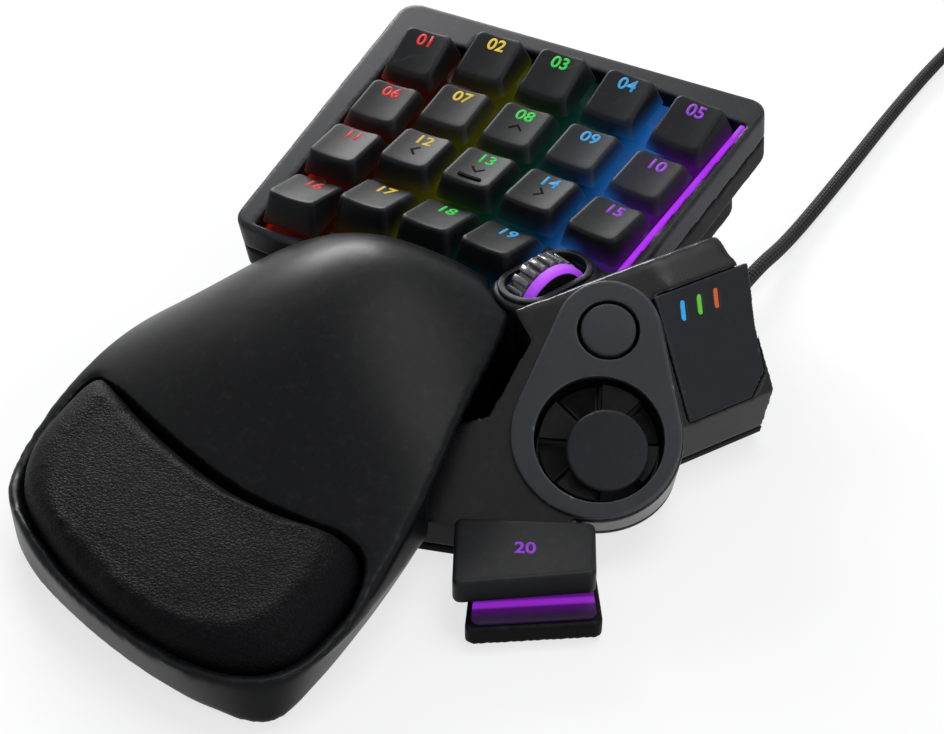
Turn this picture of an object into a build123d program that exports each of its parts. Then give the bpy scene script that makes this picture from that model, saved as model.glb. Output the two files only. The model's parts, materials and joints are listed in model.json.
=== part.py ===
from build123d import *
from math import cos, hypot, pi, radians, sin, sqrt, tan
import os

os.makedirs("parts", exist_ok=True)

# Gaming keypad for the left hand, in millimetres. X points to the thumb side, Y away from the
# user, Z up. The origin lies on the desk, under the middle of the keypad.

# General sizes
reach = 100.0
gap = 0.3
overrun = 1.0
wall = 2.4
thin_wall = 1.4
foot_height = 2.0
plate_thickness = 2.0
base_z = foot_height + plate_thickness
tall = reach

# Key deck
deck_incline = 12.5
key_pitch = 19.05
key_three_x = -14.0
key_three_y = 84.5
key_three_z = 43.0
column_across_shares = (-1.937, -0.982, 0.0, 1.020, 2.068)
column_along_shares = (-0.304, -0.010, 0.0, -0.037, -0.157)
column_turns = (1.4, 0.6, -0.6, -3.0, -5.0)
rows_in_column = (4, 4, 4, 4, 3)
cap_height = 9.2
row_height_shares = (1.0, 0.80, 0.973, 1.033)
row_shift_shares = (0.0, 0.03, 0.052, 0.079)
row_tilts = (12.5, -0.5, -9.8, -23.3)
cap_skirt_height = 3.8
cap_top_width = 13.3
cap_top_depth = 14.3
cap_base_width = 16.2
cap_base_depth = 16.6
cap_top_radius = 2.0
cap_base_radius = 1.5
cap_wall = 1.3
cap_roof = 1.8
dish_depth = 0.6
key_travel = 3.5
plunger_width = 5.6
plunger_bore = 4.0
plunger_reach = 2.0
plunger_bore_top = 2.4
guide_thickness = 1.6
guide_collar_height = 2.0
guide_rim_drop = 5.8
dome_sheet_thickness = 0.8
dome_post_width = 2.8
board_thickness = 1.6
well_half_width = 10.25
well_left_side = 9.0
well_wheel_side = 8.45
well_low_side = 8.2
well_low_inset = 0.9
well_back = 10.6
well_front = 9.9
light_strip_near = 8.5
light_strip_width = 1.9
light_strip_top = 3.9

# Key frame and deck housing
frame_top = 4.2
frame_side = 8.2
frame_edge_radius = 1.0
frame_corner_radius = 5.0
deck_outline_shares = (
    (-2.895, 0.86), (2.79, 0.86), (2.58, -2.35), (2.40, -2.95),
    (1.95, -3.70), (1.35, -4.02), (-2.655, -3.92),
)
# Each side goes straight down, tapers in, goes down again and tapers in again
housing_side = 7.2
taper_inset = 5.8
taper_drop = 7.0
waist_side = 9.4
foot_inset = 9.8
foot_drop = 5.0

# Spine that carries the palm rest
spine_left = -48.0
spine_right = 12.0
spine_front = -36.0
spine_back = 40.0
spine_front_height = 15.0
spine_back_height = 22.0
rail_width = 8.0
rail_height = 6.0
rail_bottom = 6.0
rail_spread = 36.0
rail_reach = 32.0
palm_travel = 12.5

# Palm rest
palm_rim_height = 13.5
palm_bottom = 1.2
palm_bottom_share = 0.875
palm_center_share = (-0.19, -0.40)
palm_outline_shares = (
    (-0.625, 0.10), (-0.45, 0.165), (-0.22, 0.182), (0.02, 0.175), (0.135, 0.125),
    (0.19, 0.0), (0.225, -0.20), (0.262, -0.42), (0.278, -0.62), (0.268, -0.84),
    (0.215, -0.945), (0.09, -1.000), (-0.10, -0.994), (-0.31, -0.945), (-0.49, -0.865),
    (-0.61, -0.765), (-0.665, -0.62), (-0.678, -0.40), (-0.684, -0.12),
)
hump_height = 45.5
hump_sections = (
    (-0.92, ((-0.90, 0.280), (-0.57, 0.285), (-0.20, 0.285), (0.10, 0.285), (0.50, 0.285))),
    (-0.74, ((-0.90, 0.280), (-0.57, 0.320), (-0.20, 0.345), (0.10, 0.345), (0.50, 0.330))),
    (-0.58, ((-0.90, 0.270), (-0.57, 0.395), (-0.20, 0.480), (0.10, 0.470), (0.50, 0.390))),
    (-0.42, ((-0.90, 0.180), (-0.57, 0.530), (-0.20, 0.705), (0.10, 0.650), (0.50, 0.400))),
    (-0.25, ((-0.90, 0.050), (-0.57, 0.590), (-0.20, 0.890), (0.10, 0.790), (0.50, 0.400))),
    (-0.08, ((-0.90, 0.000), (-0.57, 0.555), (-0.20, 1.000), (0.10, 0.860), (0.50, 0.350))),
    (0.08, ((-0.90, -0.050), (-0.57, 0.480), (-0.20, 0.960), (0.10, 0.850), (0.50, 0.280))),
    (0.24, ((-0.90, -0.150), (-0.57, 0.230), (-0.20, 0.590), (0.10, 0.520), (0.50, 0.050))),
)
palm_cavity_shares = (
    (-0.57, -0.41), (-0.59, -0.12), (-0.54, 0.07), (-0.50, 0.25), (0.50, 0.25), (0.50, -0.41),
)
palm_lip = 3.0

# Wrist cushion
cushion_incline = 8.0
cushion_x = -18.0
cushion_y = -76.0
cushion_z = 9.0
cushion_outline_shares = (
    (-0.60, -0.435), (-0.45, -0.488), (-0.28, -0.540), (-0.07, -0.578), (0.10, -0.575),
    (0.205, -0.590), (0.243, -0.66), (0.248, -0.77), (0.222, -0.885), (0.13, -0.952),
    (-0.02, -0.970), (-0.22, -0.938), (-0.42, -0.865), (-0.555, -0.775), (-0.615, -0.67),
    (-0.63, -0.54),
)
cushion_levels = (0.0, 7.5, 10.0, 11.4)
cushion_level_shares = (0.97, 1.0, 0.95, 0.76)
cushion_pocket_share = 1.015

# Thumb module
module_turn = 28.0
module_slope = 33.7
pad_x = 47.9
pad_y = -6.8
pad_z = 23.0
faceplate_thickness = 1.4
faceplate_edge = 0.6
pad_end_x = -0.7
pad_end_y = 1.0
pad_end_radius = 18.8
button_x = 1.5
button_y = 25.1
button_end_radius = 11.8
pad_ring_radius = 14.0
pad_bore_depth = 12.4
pad_dish_radius = 13.2
pad_dish_top = 5.0
pad_dish_thickness = 2.6
petal_height = 1.3
petal_count = 8
petal_inner_radius = 6.0
petal_slot_width = 1.0
pad_pivot_radius = 1.8
pad_cap_radius = 9.0
pad_cap_thickness = 2.6
pad_cap_edge = 0.8
pad_cap_x = 1.9
pad_cap_y = -2.9
pad_cap_lean = 12.0
pad_cap_lift = 1.0
pad_stem_radius = 4.0
button_radius = 6.15
button_bore_depth = 7.0
button_height = 6.0
button_dome = 0.7
button_travel = 1.2
boss_margin = 0.5

# Light cover side of the module
core_near = 14.5
core_far = 65.0
core_left = 14.0
ridge_left = 13.0
ridge_left_height = 38.0
ridge_width = 21.5
ridge_height = 45.8
seam_width = 29.2
seam_height = 41.5
cover_low_width = 46.2
cover_low_height = 17.0
core_foot_width = 43.0
cover_thickness = 1.6
cover_near = 41.3
cover_length = 26.4
cover_end_shares = ((1.0, 0.0), (0.90, 0.47), (0.86, 0.84), (0.66, 1.0), (-0.02, 1.0))
indicator_length = 4.6
indicator_width = 1.0
indicator_pitch = 4.6
indicator_first = 6.3
indicator_drop = 5.2
indicator_lean = 12.0
flank_shares = (
    (0.15, -0.400), (0.15, -0.22), (0.24, -0.14), (0.25, 0.06), (0.45, 0.06), (0.50, -0.20),
    (0.494, -0.244), (0.289, -0.353),
)
outlet_x = 43.0
outlet_z = 6.3
outlet_radius = 4.1
outlet_start = 36.0
outlet_end = 56.0

# Scroll wheel, in a pod that stands level on the sloping deck
wheel_turn = 71.5
wheel_x = 17.8
wheel_y = 22.5
pod_top = 36.8
pod_low = 15.4
pod_length = 27.4
pod_width = 16.5
pod_edge_radius = 1.1
pod_floor = 1.5
wheel_rise = 4.1
wheel_radius = 10.3
wheel_tyre_thickness = 1.8
wheel_tyre_width = 4.6
wheel_hub_width = 7.6
wheel_light_width = 2.4
wheel_light_thickness = 1.5
wheel_rib_count = 24
wheel_rib_width = 1.2
wheel_rib_depth = 0.8
wheel_room = 0.7
axle_radius = 1.5
bezel_length = 25.0
bezel_width = 14.1
bezel_rise = 0.9
bezel_open_length = 21.7
bezel_open_width = 11.2
bezel_skirt = 1.2
bezel_skirt_wall = 0.4
carriage_arm = 1.2
carriage_arm_width = 5.0
carriage_arm_rise = 2.5
axle_overhang = 0.2
carriage_floor = 1.5
wheel_travel = 0.8

# Thumb key
thumb_key_top = 14.5
thumb_key_height = 6.0
thumb_key_travel = 2.0
thumb_key_shares = ((0.290, -0.363), (0.556, -0.222), (0.631, -0.357), (0.390, -0.538))
thumb_base_shares = ((0.330, -0.350), (0.560, -0.232), (0.672, -0.397), (0.435, -0.565))
thumb_tongue_shares = ((0.345, -0.375), (0.545, -0.265), (0.500, -0.160), (0.300, -0.280))
thumb_corner_radius = 1.8
thumb_base_top = 5.4
thumb_base_bottom = 1.2
thumb_light_height = 0.7
thumb_light_inset = 1.2
thumb_key_wall = 1.6
thumb_key_edge = 0.8
thumb_plunger_x = 47.0
thumb_plunger_y = -37.5
thumb_plunger_width = 6.0
thumb_plunger_bottom = 4.4
thumb_socket_floor = 2.2

# Feet, boards and screws
plate_web_shares = ((0.12, -0.20), (0.30, -0.12), (0.45, 0.10), (0.45, 0.50), (0.10, 0.50))
foot_radius = 5.0
foot_shares = ((-0.47, 0.32), (0.10, 0.36), (-0.47, 0.86), (0.20, 0.86), (0.44, 0.02))
palm_foot_shares = ((-0.44, -0.70), (0.08, -0.84))
post_radius = 2.0
post_height = 2.0
post_inset = 4.0
main_board_length = 46.0
main_board_width = 34.0
main_board_x = -16.0
main_board_y = 62.0
screw_radius = 1.4
screw_head_radius = 2.4
screw_head_height = 0.9
screw_reach = 5.0
screw_shares = ((-0.42, -0.28), (0.05, -0.28), (-0.42, 0.06), (0.05, 0.06), (0.22, -0.30), (0.40, 0.22))

# Cable
cord_diameter = 4.0
relief_length = 22.0
relief_root_radius = 3.9
relief_tip_radius = 2.6
relief_groove = 0.6
relief_grooves = 5
relief_groove_share = 0.5
coil_radius = 22.0
coil_pitch = 4.6
coil_rise = 4.5
coil_layers = 4
coil_turns = 3
coil_x = 75.0
coil_y = 283.0
coil_low = 1.3
coil_margin = 0.2
coil_stub = 18.0
tie_width = 6.0
tie_thickness = 1.0
plug_x = 96.0
plug_y = 283.0
plug_length = 22.0
plug_width = 15.0
plug_height = 7.6
plug_edge = 1.5
plug_tongue_width = 9.0
plug_tongue_height = 1.6
shell_length = 18.7
shell_width = 12.0
shell_height = 4.5
shell_wall = 0.5
arc_share = 0.45
# Route of the cable over the desk, from the strain relief to the coil
cable_route = (
    (43.0, 78.0, 6.3), (43.0, 92.0, 6.3), (43.1, 112.0, 2.1), (43.4, 150.0, 2.1),
    (43.0, 190.0, 2.1), (43.6, 222.0, 2.2), (46.1, 246.0, 3.5), (46.1, 265.0, 3.5),
)
# Route of its end, from the coil's top layer to the plug that lies on the coil
tail_route = (
    (46.1, 301.0, 17.0), (46.1, 311.0, 17.0), (54.0, 321.0, 20.4), (68.0, 325.0, 22.6),
    (84.0, 321.0, 23.3), (96.0, 309.0, 23.3), (96.0, 294.0, 23.3),
)


# Planes and places shared by several pieces
def direction(turn):
    return Vector(cos(radians(turn)), sin(radians(turn)), 0)


deck_normal = Vector(0, -sin(radians(deck_incline)), cos(radians(deck_incline)))
deck_plane = Plane(origin=(key_three_x, key_three_y, key_three_z), x_dir=(1, 0, 0), z_dir=deck_normal)

module_across = direction(module_turn)
module_front = Vector(module_across.Y, -module_across.X, 0)
module_normal = (module_front * sin(radians(module_slope))
                 + Vector(0, 0, 1) * cos(radians(module_slope)))
pad_plane = Plane(origin=(pad_x, pad_y, pad_z), x_dir=module_across, z_dir=module_normal)

core_plane = Plane(origin=(0, 0, 0), x_dir=direction(-module_turn),
                   z_dir=-direction(90 - module_turn))
cover_run = cover_low_width - seam_width
cover_drop = seam_height - cover_low_height
cover_slope_length = hypot(cover_run, cover_drop)
cover_origin = (direction(-module_turn) * seam_width + direction(90 - module_turn) * cover_near
                + Vector(0, 0, seam_height))
cover_normal = (direction(-module_turn) * cover_drop + Vector(0, 0, cover_run)).normalized()
cover_plane = Plane(origin=cover_origin, x_dir=direction(90 - module_turn), z_dir=cover_normal)

wheel_plane = Plane(origin=(wheel_x, wheel_y, pod_top), x_dir=direction(wheel_turn), z_dir=(0, 0, 1))


def scaled(shares, size):
    return [(x * size, y * size) for x, y in shares]


def about(points, center, share):
    return [(center[0] + (x - center[0]) * share, center[1] + (y - center[1]) * share)
            for x, y in points]


# Where each key sits on the deck: in its column, turned with the column
def column_location(column):
    across = column_across_shares[column] * key_pitch
    along = column_along_shares[column] * key_pitch
    return Location((across, along, 0), (0, 0, column_turns[column]))


def key_location(column, row):
    return column_location(column) * Location((0, -key_pitch * row, 0))


keys = [(column, row) for row in range(4) for column in range(5) if row < rows_in_column[column]]
key_locations = [key_location(column, row) for column, row in keys]


def save(part, name):
    part.part.label = name
    export_step(part.part, f"parts/{name}.step")


# Keycaps: a tapered hollow shell with a dished, tilted top, and a square plunger inside
def keycap(column, row):
    place = Plane(deck_plane.location * key_location(column, row))
    height = cap_height * row_height_shares[row]
    shift = key_pitch * row_shift_shares[row]
    top = Plane(place.location * Location((0, shift, height), (row_tilts[row], 0, 0)))
    with BuildPart() as hollow:
        with BuildSketch(place.offset(cap_skirt_height)):
            Rectangle(cap_base_width - 2 * cap_wall, cap_base_depth - 2 * cap_wall)
        with BuildSketch(top.offset(-cap_roof)):
            Rectangle(cap_top_width - 2 * cap_wall, cap_top_depth - 2 * cap_wall)
        loft(ruled=True)
        with BuildSketch(place):
            Rectangle(plunger_width, plunger_width)
        extrude(amount=2 * height, mode=Mode.SUBTRACT)
    dish_radius = (cap_top_width ** 2 / 4 + dish_depth ** 2) / (2 * dish_depth)
    dish_start = top.origin - top.y_dir * cap_top_depth
    with BuildPart() as cap:
        with BuildSketch(place.offset(cap_skirt_height)):
            RectangleRounded(cap_base_width, cap_base_depth, cap_base_radius)
        with BuildSketch(top):
            RectangleRounded(cap_top_width, cap_top_depth, cap_top_radius)
        loft(ruled=True)
        # The dish is a shallow cylinder that runs front to back
        with BuildSketch(Plane(origin=dish_start, x_dir=top.x_dir, z_dir=top.y_dir)):
            with Locations((0, dish_depth - dish_radius)):
                Circle(dish_radius)
        extrude(amount=2 * cap_top_depth, mode=Mode.SUBTRACT)
        add(hollow.part, mode=Mode.SUBTRACT)
        with BuildSketch(place.offset(-plunger_reach)):
            Rectangle(plunger_width, plunger_width)
        extrude(amount=plunger_reach + cap_skirt_height + gap)
        with BuildSketch(place.offset(-plunger_reach)):
            Rectangle(plunger_bore, plunger_bore)
        extrude(amount=plunger_reach + plunger_bore_top, mode=Mode.SUBTRACT)
    return cap


for number, (column, row) in enumerate(keys, 1):
    save(keycap(column, row), f"keycap_{number:02d}")


# Outline of the deck at a height over the lit floor, moved in by an inset
def deck_profile(height, inset):
    with BuildSketch(deck_plane.offset(height)) as profile:
        with BuildLine():
            Polyline(scaled(deck_outline_shares, key_pitch), close=True)
        make_face()
        offset(amount=-inset, kind=Kind.INTERSECTION)
        fillet(profile.vertices(), frame_corner_radius)
    return profile.sketch


# The key well follows the columns; its right side lies last_side from the last column
def well_profile(height, inset, last_side):
    # Column, rows from the back, left side, right side
    rooms = (
        (0, 4, well_left_side, well_half_width),
        (1, 4, well_half_width, well_half_width),
        (2, 4, well_half_width, well_half_width),
        (3, 3, well_half_width, well_half_width),
        (3, 4, well_half_width, well_wheel_side),
        (4, 3, well_half_width, last_side),
    )
    with BuildSketch(deck_plane.offset(height)) as profile:
        for column, rows, left, right in rooms:
            back = well_back - inset
            front = key_pitch * (rows - 1) + well_front - inset
            center = Location(((right - left) / 2, (back - front) / 2, 0))
            with Locations(column_location(column) * center):
                Rectangle(right + left - 2 * inset, back + front)
    return profile.sketch


# The scroll wheel's pod: its lower part belongs to the housing, its top to the frame
seam = frame_top - frame_side
well_last_side = light_strip_near + light_strip_width
wheel_center = wheel_plane.origin - wheel_plane.z_dir * (wheel_radius - wheel_rise)
axle_plane = Plane(origin=wheel_center, x_dir=wheel_plane.x_dir, z_dir=wheel_plane.y_dir)
arm_outside = wheel_hub_width / 2 + gap + carriage_arm
carriage_low = wheel_rise - 2 * wheel_radius - 2 * gap - carriage_floor
axle_length = 2 * (arm_outside + axle_overhang)


def pod_body(room):
    with BuildPart() as body:
        with BuildSketch(wheel_plane.offset(pod_low - pod_top - room)):
            SlotOverall(pod_length + 2 * room, pod_width + 2 * room)
        extrude(amount=pod_top - pod_low + 2 * room)
        fillet(body.faces().sort_by(Axis.Z)[-1].edges(), pod_edge_radius)
    return body.part


with BuildPart() as wheel_recess:
    with BuildSketch(axle_plane.offset(-wheel_hub_width / 2 - gap)):
        Circle(wheel_radius + wheel_room)
    extrude(amount=wheel_hub_width + 2 * gap)
    with BuildSketch(wheel_plane.offset(carriage_low - wheel_travel - gap)):
        Rectangle(carriage_arm_width + 2 * gap, axle_length + 2 * gap)
        Rectangle(wheel_radius, wheel_hub_width + 2 * gap)
    extrude(amount=tall)
    with BuildSketch(wheel_plane.offset(-bezel_skirt - gap)):
        SlotOverall(bezel_open_length + 2 * bezel_skirt_wall + gap,
                    bezel_open_width + 2 * bezel_skirt_wall + gap)
    extrude(amount=tall)


with BuildPart() as frame_pod:
    add(pod_body(0))
    split(bisect_by=deck_plane.offset(seam), keep=Keep.TOP)

with BuildPart() as key_frame:
    extrude(deck_profile(seam, 0), amount=frame_side)
    fillet(key_frame.faces().sort_by(Axis(deck_plane.origin, deck_normal))[-1].edges(), frame_edge_radius)
    add(frame_pod.part)
    extrude(well_profile(seam - overrun, 0, well_last_side), amount=2 * frame_side, mode=Mode.SUBTRACT)
    add(wheel_recess.part, mode=Mode.SUBTRACT)
save(key_frame, "key_frame")

# Lit floor of the well: a plate with a guided hole for each plunger, on a rim
guide_hole = plunger_width + 2 * gap
collar_width = guide_hole + 2 * thin_wall
with BuildPart() as key_guide_plate:
    extrude(well_profile(-guide_rim_drop, well_low_inset, well_low_side), amount=guide_rim_drop)
    extrude(well_profile(-guide_rim_drop, well_low_inset + thin_wall, well_low_side),
            amount=guide_rim_drop - guide_thickness, mode=Mode.SUBTRACT)
    extrude(well_profile(-guide_thickness, gap, well_last_side), amount=guide_thickness)
    with BuildSketch(deck_plane):
        with Locations(*key_locations):
            Rectangle(collar_width, collar_width)
    extrude(amount=guide_collar_height)
    with BuildSketch(deck_plane.offset(-guide_rim_drop)):
        with Locations(*key_locations):
            Rectangle(guide_hole, guide_hole)
    extrude(amount=guide_rim_drop + guide_collar_height + overrun, mode=Mode.SUBTRACT)
save(key_guide_plate, "key_guide_plate")

# Dome sheet: a rubber sheet with one sprung post inside each plunger
post_top = plunger_bore_top - key_travel - gap
with BuildPart() as dome_sheet:
    extrude(well_profile(-guide_rim_drop - dome_sheet_thickness, well_low_inset, well_low_side),
            amount=dome_sheet_thickness)
    with BuildSketch(deck_plane.offset(-guide_rim_drop)):
        with Locations(*key_locations):
            Rectangle(dome_post_width, dome_post_width)
    extrude(amount=guide_rim_drop + post_top)
save(dome_sheet, "dome_sheet")

board_low = -guide_rim_drop - dome_sheet_thickness - board_thickness
with BuildPart() as key_circuit_board:
    extrude(well_profile(board_low, well_low_inset, well_low_side), amount=board_thickness)
save(key_circuit_board, "key_circuit_board")

# Light strip that stands along the right wall of the well
strip_front = key_pitch * (rows_in_column[4] - 1) + well_front
strip_middle = Location((light_strip_near + light_strip_width / 2, (well_back - strip_front) / 2, 0))
with BuildPart() as well_light_strip:
    with BuildSketch(deck_plane):
        with Locations(column_location(4) * strip_middle):
            Rectangle(light_strip_width - 2 * gap, well_back + strip_front - 2 * gap)
    extrude(amount=light_strip_top)
save(well_light_strip, "well_light_strip")


# Deck housing: straight sides under the frame, two tapers and a waist, down to the bottom plate
taper_top = seam - housing_side
taper_foot = taper_top - taper_drop
waist_foot = taper_foot - waist_side
foot_top = waist_foot - foot_drop


def deck_body(inset, low, top_extra):
    with BuildPart() as body:
        extrude(deck_profile(foot_top, foot_inset + inset), amount=tall, dir=(0, 0, -1))
        loft([deck_profile(foot_top, foot_inset + inset), deck_profile(waist_foot, taper_inset + inset)],
             ruled=True)
        extrude(deck_profile(waist_foot, taper_inset + inset), amount=waist_side)
        loft([deck_profile(taper_foot, taper_inset + inset), deck_profile(taper_top, inset)], ruled=True)
        extrude(deck_profile(taper_top, inset), amount=housing_side + top_extra)
        split(bisect_by=Plane.XY.offset(low), keep=Keep.TOP)
    return body.part


with BuildPart() as spine:
    with BuildSketch(Plane(origin=(spine_left, 0, 0), x_dir=(0, 1, 0), z_dir=(1, 0, 0))):
        with BuildLine():
            Polyline((spine_front, base_z), (spine_back, base_z), (spine_back, spine_back_height),
                     (spine_front, spine_front_height), close=True)
        make_face()
    extrude(amount=spine_right - spine_left)

with BuildPart() as housing_pod:
    add(pod_body(0))
    split(bisect_by=deck_plane.offset(seam), keep=Keep.BOTTOM)
    extrude(well_profile(board_low - gap, 0, well_low_side), amount=frame_side, mode=Mode.SUBTRACT)

with BuildPart() as deck_housing:
    add(deck_body(0, base_z, 0))
    add(spine.part)
    add(deck_body(wall, base_z - overrun, overrun), mode=Mode.SUBTRACT)
    add(housing_pod.part)
    add(wheel_recess.part, mode=Mode.SUBTRACT)
    for side in (-1, 1):
        with BuildSketch(Plane.XZ.offset(-spine_front + overrun)):
            with Locations(((spine_left + spine_right + side * rail_spread) / 2,
                            rail_bottom + rail_height / 2)):
                Rectangle(rail_width + 2 * gap, rail_height + 2 * gap)
        extrude(amount=-rail_reach - 2 * overrun, mode=Mode.SUBTRACT)
save(deck_housing, "deck_housing")


# Palm rest: the plan outline leans in towards the desk, and the hump closes it on top
palm_center = (palm_center_share[0] * reach, palm_center_share[1] * reach)


def palm_profile(share, height):
    with BuildSketch(Plane.XY.offset(height)) as profile:
        with BuildLine():
            Spline(about(scaled(palm_outline_shares, reach), palm_center, share), periodic=True)
        make_face()
    return profile.sketch


def hump(drop):
    sections = []
    for along_share, shares in hump_sections:
        points = [(x * reach, z * hump_height - drop) for x, z in shares]
        with BuildSketch(Plane.XZ.offset(-along_share * reach)) as section:
            with BuildLine():
                curve = Spline(points)
                Polyline(curve @ 1, (points[-1][0], -hump_height), (points[0][0], -hump_height), curve @ 0)
            make_face()
        sections.append(section.sketch)
    with BuildPart() as body:
        loft(sections)
    return body.part


cushion_plane = Plane(Location((cushion_x, cushion_y, cushion_z), (cushion_incline, 0, 0)))


def cushion_section(level, share):
    points = [((x * reach - cushion_x) * share, (y * reach - cushion_y) * share)
              for x, y in cushion_outline_shares]
    with BuildSketch(cushion_plane.offset(level)) as section:
        with BuildLine():
            Spline(points, periodic=True)
        make_face()
    return section.sketch


with BuildPart() as cushion_pocket:
    extrude(cushion_section(-gap, cushion_pocket_share), amount=tall)

with BuildPart() as palm_cavity:
    with BuildSketch(Plane.XY.offset(-overrun)):
        with BuildLine():
            Polyline(scaled(palm_cavity_shares, reach), close=True)
        make_face()
    extrude(amount=tall)
    add(hump(palm_lip), mode=Mode.INTERSECT)

# The hump rises from the flat front of the shell
with BuildPart() as palm_hump:
    extrude(palm_profile(1, palm_rim_height - overrun), amount=tall)
    add(hump(0), mode=Mode.INTERSECT)

with BuildPart() as palm_rest_shell:
    loft([palm_profile(palm_bottom_share, palm_bottom), palm_profile(1, palm_rim_height)], ruled=True)
    add(palm_hump.part)
    add(palm_cavity.part, mode=Mode.SUBTRACT)
    add(cushion_pocket.part, mode=Mode.SUBTRACT)
    extrude(deck_profile(frame_top + 2 * gap, -3 * gap), amount=-tall, mode=Mode.SUBTRACT)
    add(pod_body(3 * gap), mode=Mode.SUBTRACT)
save(palm_rest_shell, "palm_rest_shell")

with BuildPart() as wrist_cushion:
    loft([cushion_section(level, share)
          for level, share in zip(cushion_levels, cushion_level_shares)])
save(wrist_cushion, "wrist_cushion")

# Rails fixed to the palm rest that run in the slots of the spine
rail_front = palm_cavity_shares[0][1] * reach
with BuildPart() as palm_slide_rails:
    for side in (-1, 1):
        with BuildSketch(Plane.XZ.offset(-rail_front)):
            with Locations(((spine_left + spine_right + side * rail_spread) / 2,
                            rail_bottom + rail_height / 2)):
                Rectangle(rail_width, rail_height)
        extrude(amount=-rail_reach)
save(palm_slide_rails, "palm_slide_rails")

with BuildPart() as palm_feet:
    with BuildSketch():
        with Locations(*scaled(palm_foot_shares, reach)):
            Circle(foot_radius)
    extrude(amount=palm_bottom)
save(palm_feet, "palm_feet")


# Thumb module: a teardrop boss, a flank beside it and a ridge with a slanted side
def teardrop(height, margin):
    with BuildSketch(pad_plane.offset(height)) as profile:
        with Locations((pad_end_x, pad_end_y)):
            Circle(pad_end_radius + margin)
        with Locations((button_x, button_y)):
            Circle(button_end_radius + margin)
        make_hull()
    return profile.sketch


cover_points = [(cover_length * x, -cover_slope_length * y) for x, y in cover_end_shares]


def module_block(low):
    with BuildPart() as block:
        # Ridge with the slanted side
        with BuildSketch(core_plane.offset(-core_near)) as ridge:
            with BuildLine():
                Polyline((core_left, 0), (ridge_left, ridge_left_height), (ridge_width, ridge_height),
                         (seam_width, seam_height), (cover_low_width, cover_low_height),
                         (core_foot_width, 0), close=True)
            make_face()
        extrude(amount=core_near - core_far)
        with BuildSketch():
            with BuildLine():
                Polyline(scaled(flank_shares, reach), close=True)
            make_face()
        extrude(amount=tall)
        with BuildSketch(pad_plane.offset(-faceplate_thickness)):
            Circle(2 * reach)
        extrude(amount=tall, mode=Mode.SUBTRACT)
        extrude(teardrop(-faceplate_thickness, boss_margin), amount=-tall)
        split(bisect_by=Plane.XY.offset(low), keep=Keep.TOP)
        extrude(deck_profile(frame_top + tall, -gap), amount=-2 * tall, mode=Mode.SUBTRACT)
        add(pod_body(gap), mode=Mode.SUBTRACT)
    return block.part


with BuildPart() as thumb_housing:
    add(module_block(base_z))
    # Outlet of the cable at the back
    with BuildSketch(Plane(origin=(outlet_x, outlet_start, outlet_z), x_dir=(1, 0, 0), z_dir=(0, 1, 0))):
        Circle(outlet_radius)
    extrude(amount=outlet_end - outlet_start)
    with BuildSketch(pad_plane.offset(overrun)):
        Circle(pad_ring_radius)
    extrude(amount=-pad_bore_depth - overrun, mode=Mode.SUBTRACT)
    with BuildSketch(pad_plane.offset(overrun)):
        with Locations((button_x, button_y)):
            Circle(button_radius + gap)
    extrude(amount=-button_bore_depth - overrun, mode=Mode.SUBTRACT)
    with BuildSketch(cover_plane):
        with BuildLine():
            Polyline([(0, 0)] + cover_points, close=True)
        make_face()
    extrude(amount=-cover_thickness, mode=Mode.SUBTRACT)
save(thumb_housing, "thumb_housing")

with BuildPart() as thumb_faceplate:
    extrude(teardrop(-faceplate_thickness, 0), amount=faceplate_thickness)
    top_face = thumb_faceplate.faces().sort_by(Axis(pad_plane.origin, module_normal))[-1]
    fillet(top_face.edges(), faceplate_edge)
    with BuildSketch(pad_plane.offset(overrun)):
        Circle(pad_ring_radius)
        with Locations((button_x, button_y)):
            Circle(button_radius + gap)
    extrude(amount=-faceplate_thickness - 2 * overrun, mode=Mode.SUBTRACT)
save(thumb_faceplate, "thumb_faceplate")

with BuildPart() as thumb_side_cover:
    with BuildSketch(cover_plane) as cover_face:
        with BuildLine():
            Polyline([(0, 0)] + cover_points, close=True)
        make_face()
        offset(amount=-gap / 2)
    extrude(amount=-cover_thickness)
    with BuildSketch(cover_plane):
        for light in range(3):
            with Locations(Location((indicator_first + light * indicator_pitch, -indicator_drop, 0),
                                    (0, 0, -indicator_lean))):
                SlotOverall(indicator_length, indicator_width, rotation=90)
    extrude(amount=-cover_thickness, mode=Mode.SUBTRACT)
save(thumb_side_cover, "thumb_side_cover")

for light, name in enumerate(("blue", "green", "orange")):
    with BuildPart() as indicator:
        with BuildSketch(cover_plane):
            with Locations(Location((indicator_first + light * indicator_pitch, -indicator_drop, 0),
                                    (0, 0, -indicator_lean))):
                SlotOverall(indicator_length, indicator_width, rotation=90)
        extrude(amount=-cover_thickness)
    save(indicator, f"indicator_light_{name}")

board_depth = pad_bore_depth - thin_wall + gap
pivot_low = -board_depth + gap
dish_low = -pad_dish_top - pad_dish_thickness
with BuildPart() as thumb_board:
    with BuildSketch(pad_plane.offset(-pad_bore_depth)):
        Circle(pad_ring_radius - gap)
    extrude(amount=pad_bore_depth - board_depth)
save(thumb_board, "thumb_board")

with BuildPart() as thumb_pad_pivot:
    with BuildSketch(pad_plane.offset(pivot_low)):
        Circle(pad_pivot_radius)
    extrude(amount=dish_low - gap - pivot_low)
save(thumb_pad_pivot, "thumb_pad_pivot")

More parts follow.
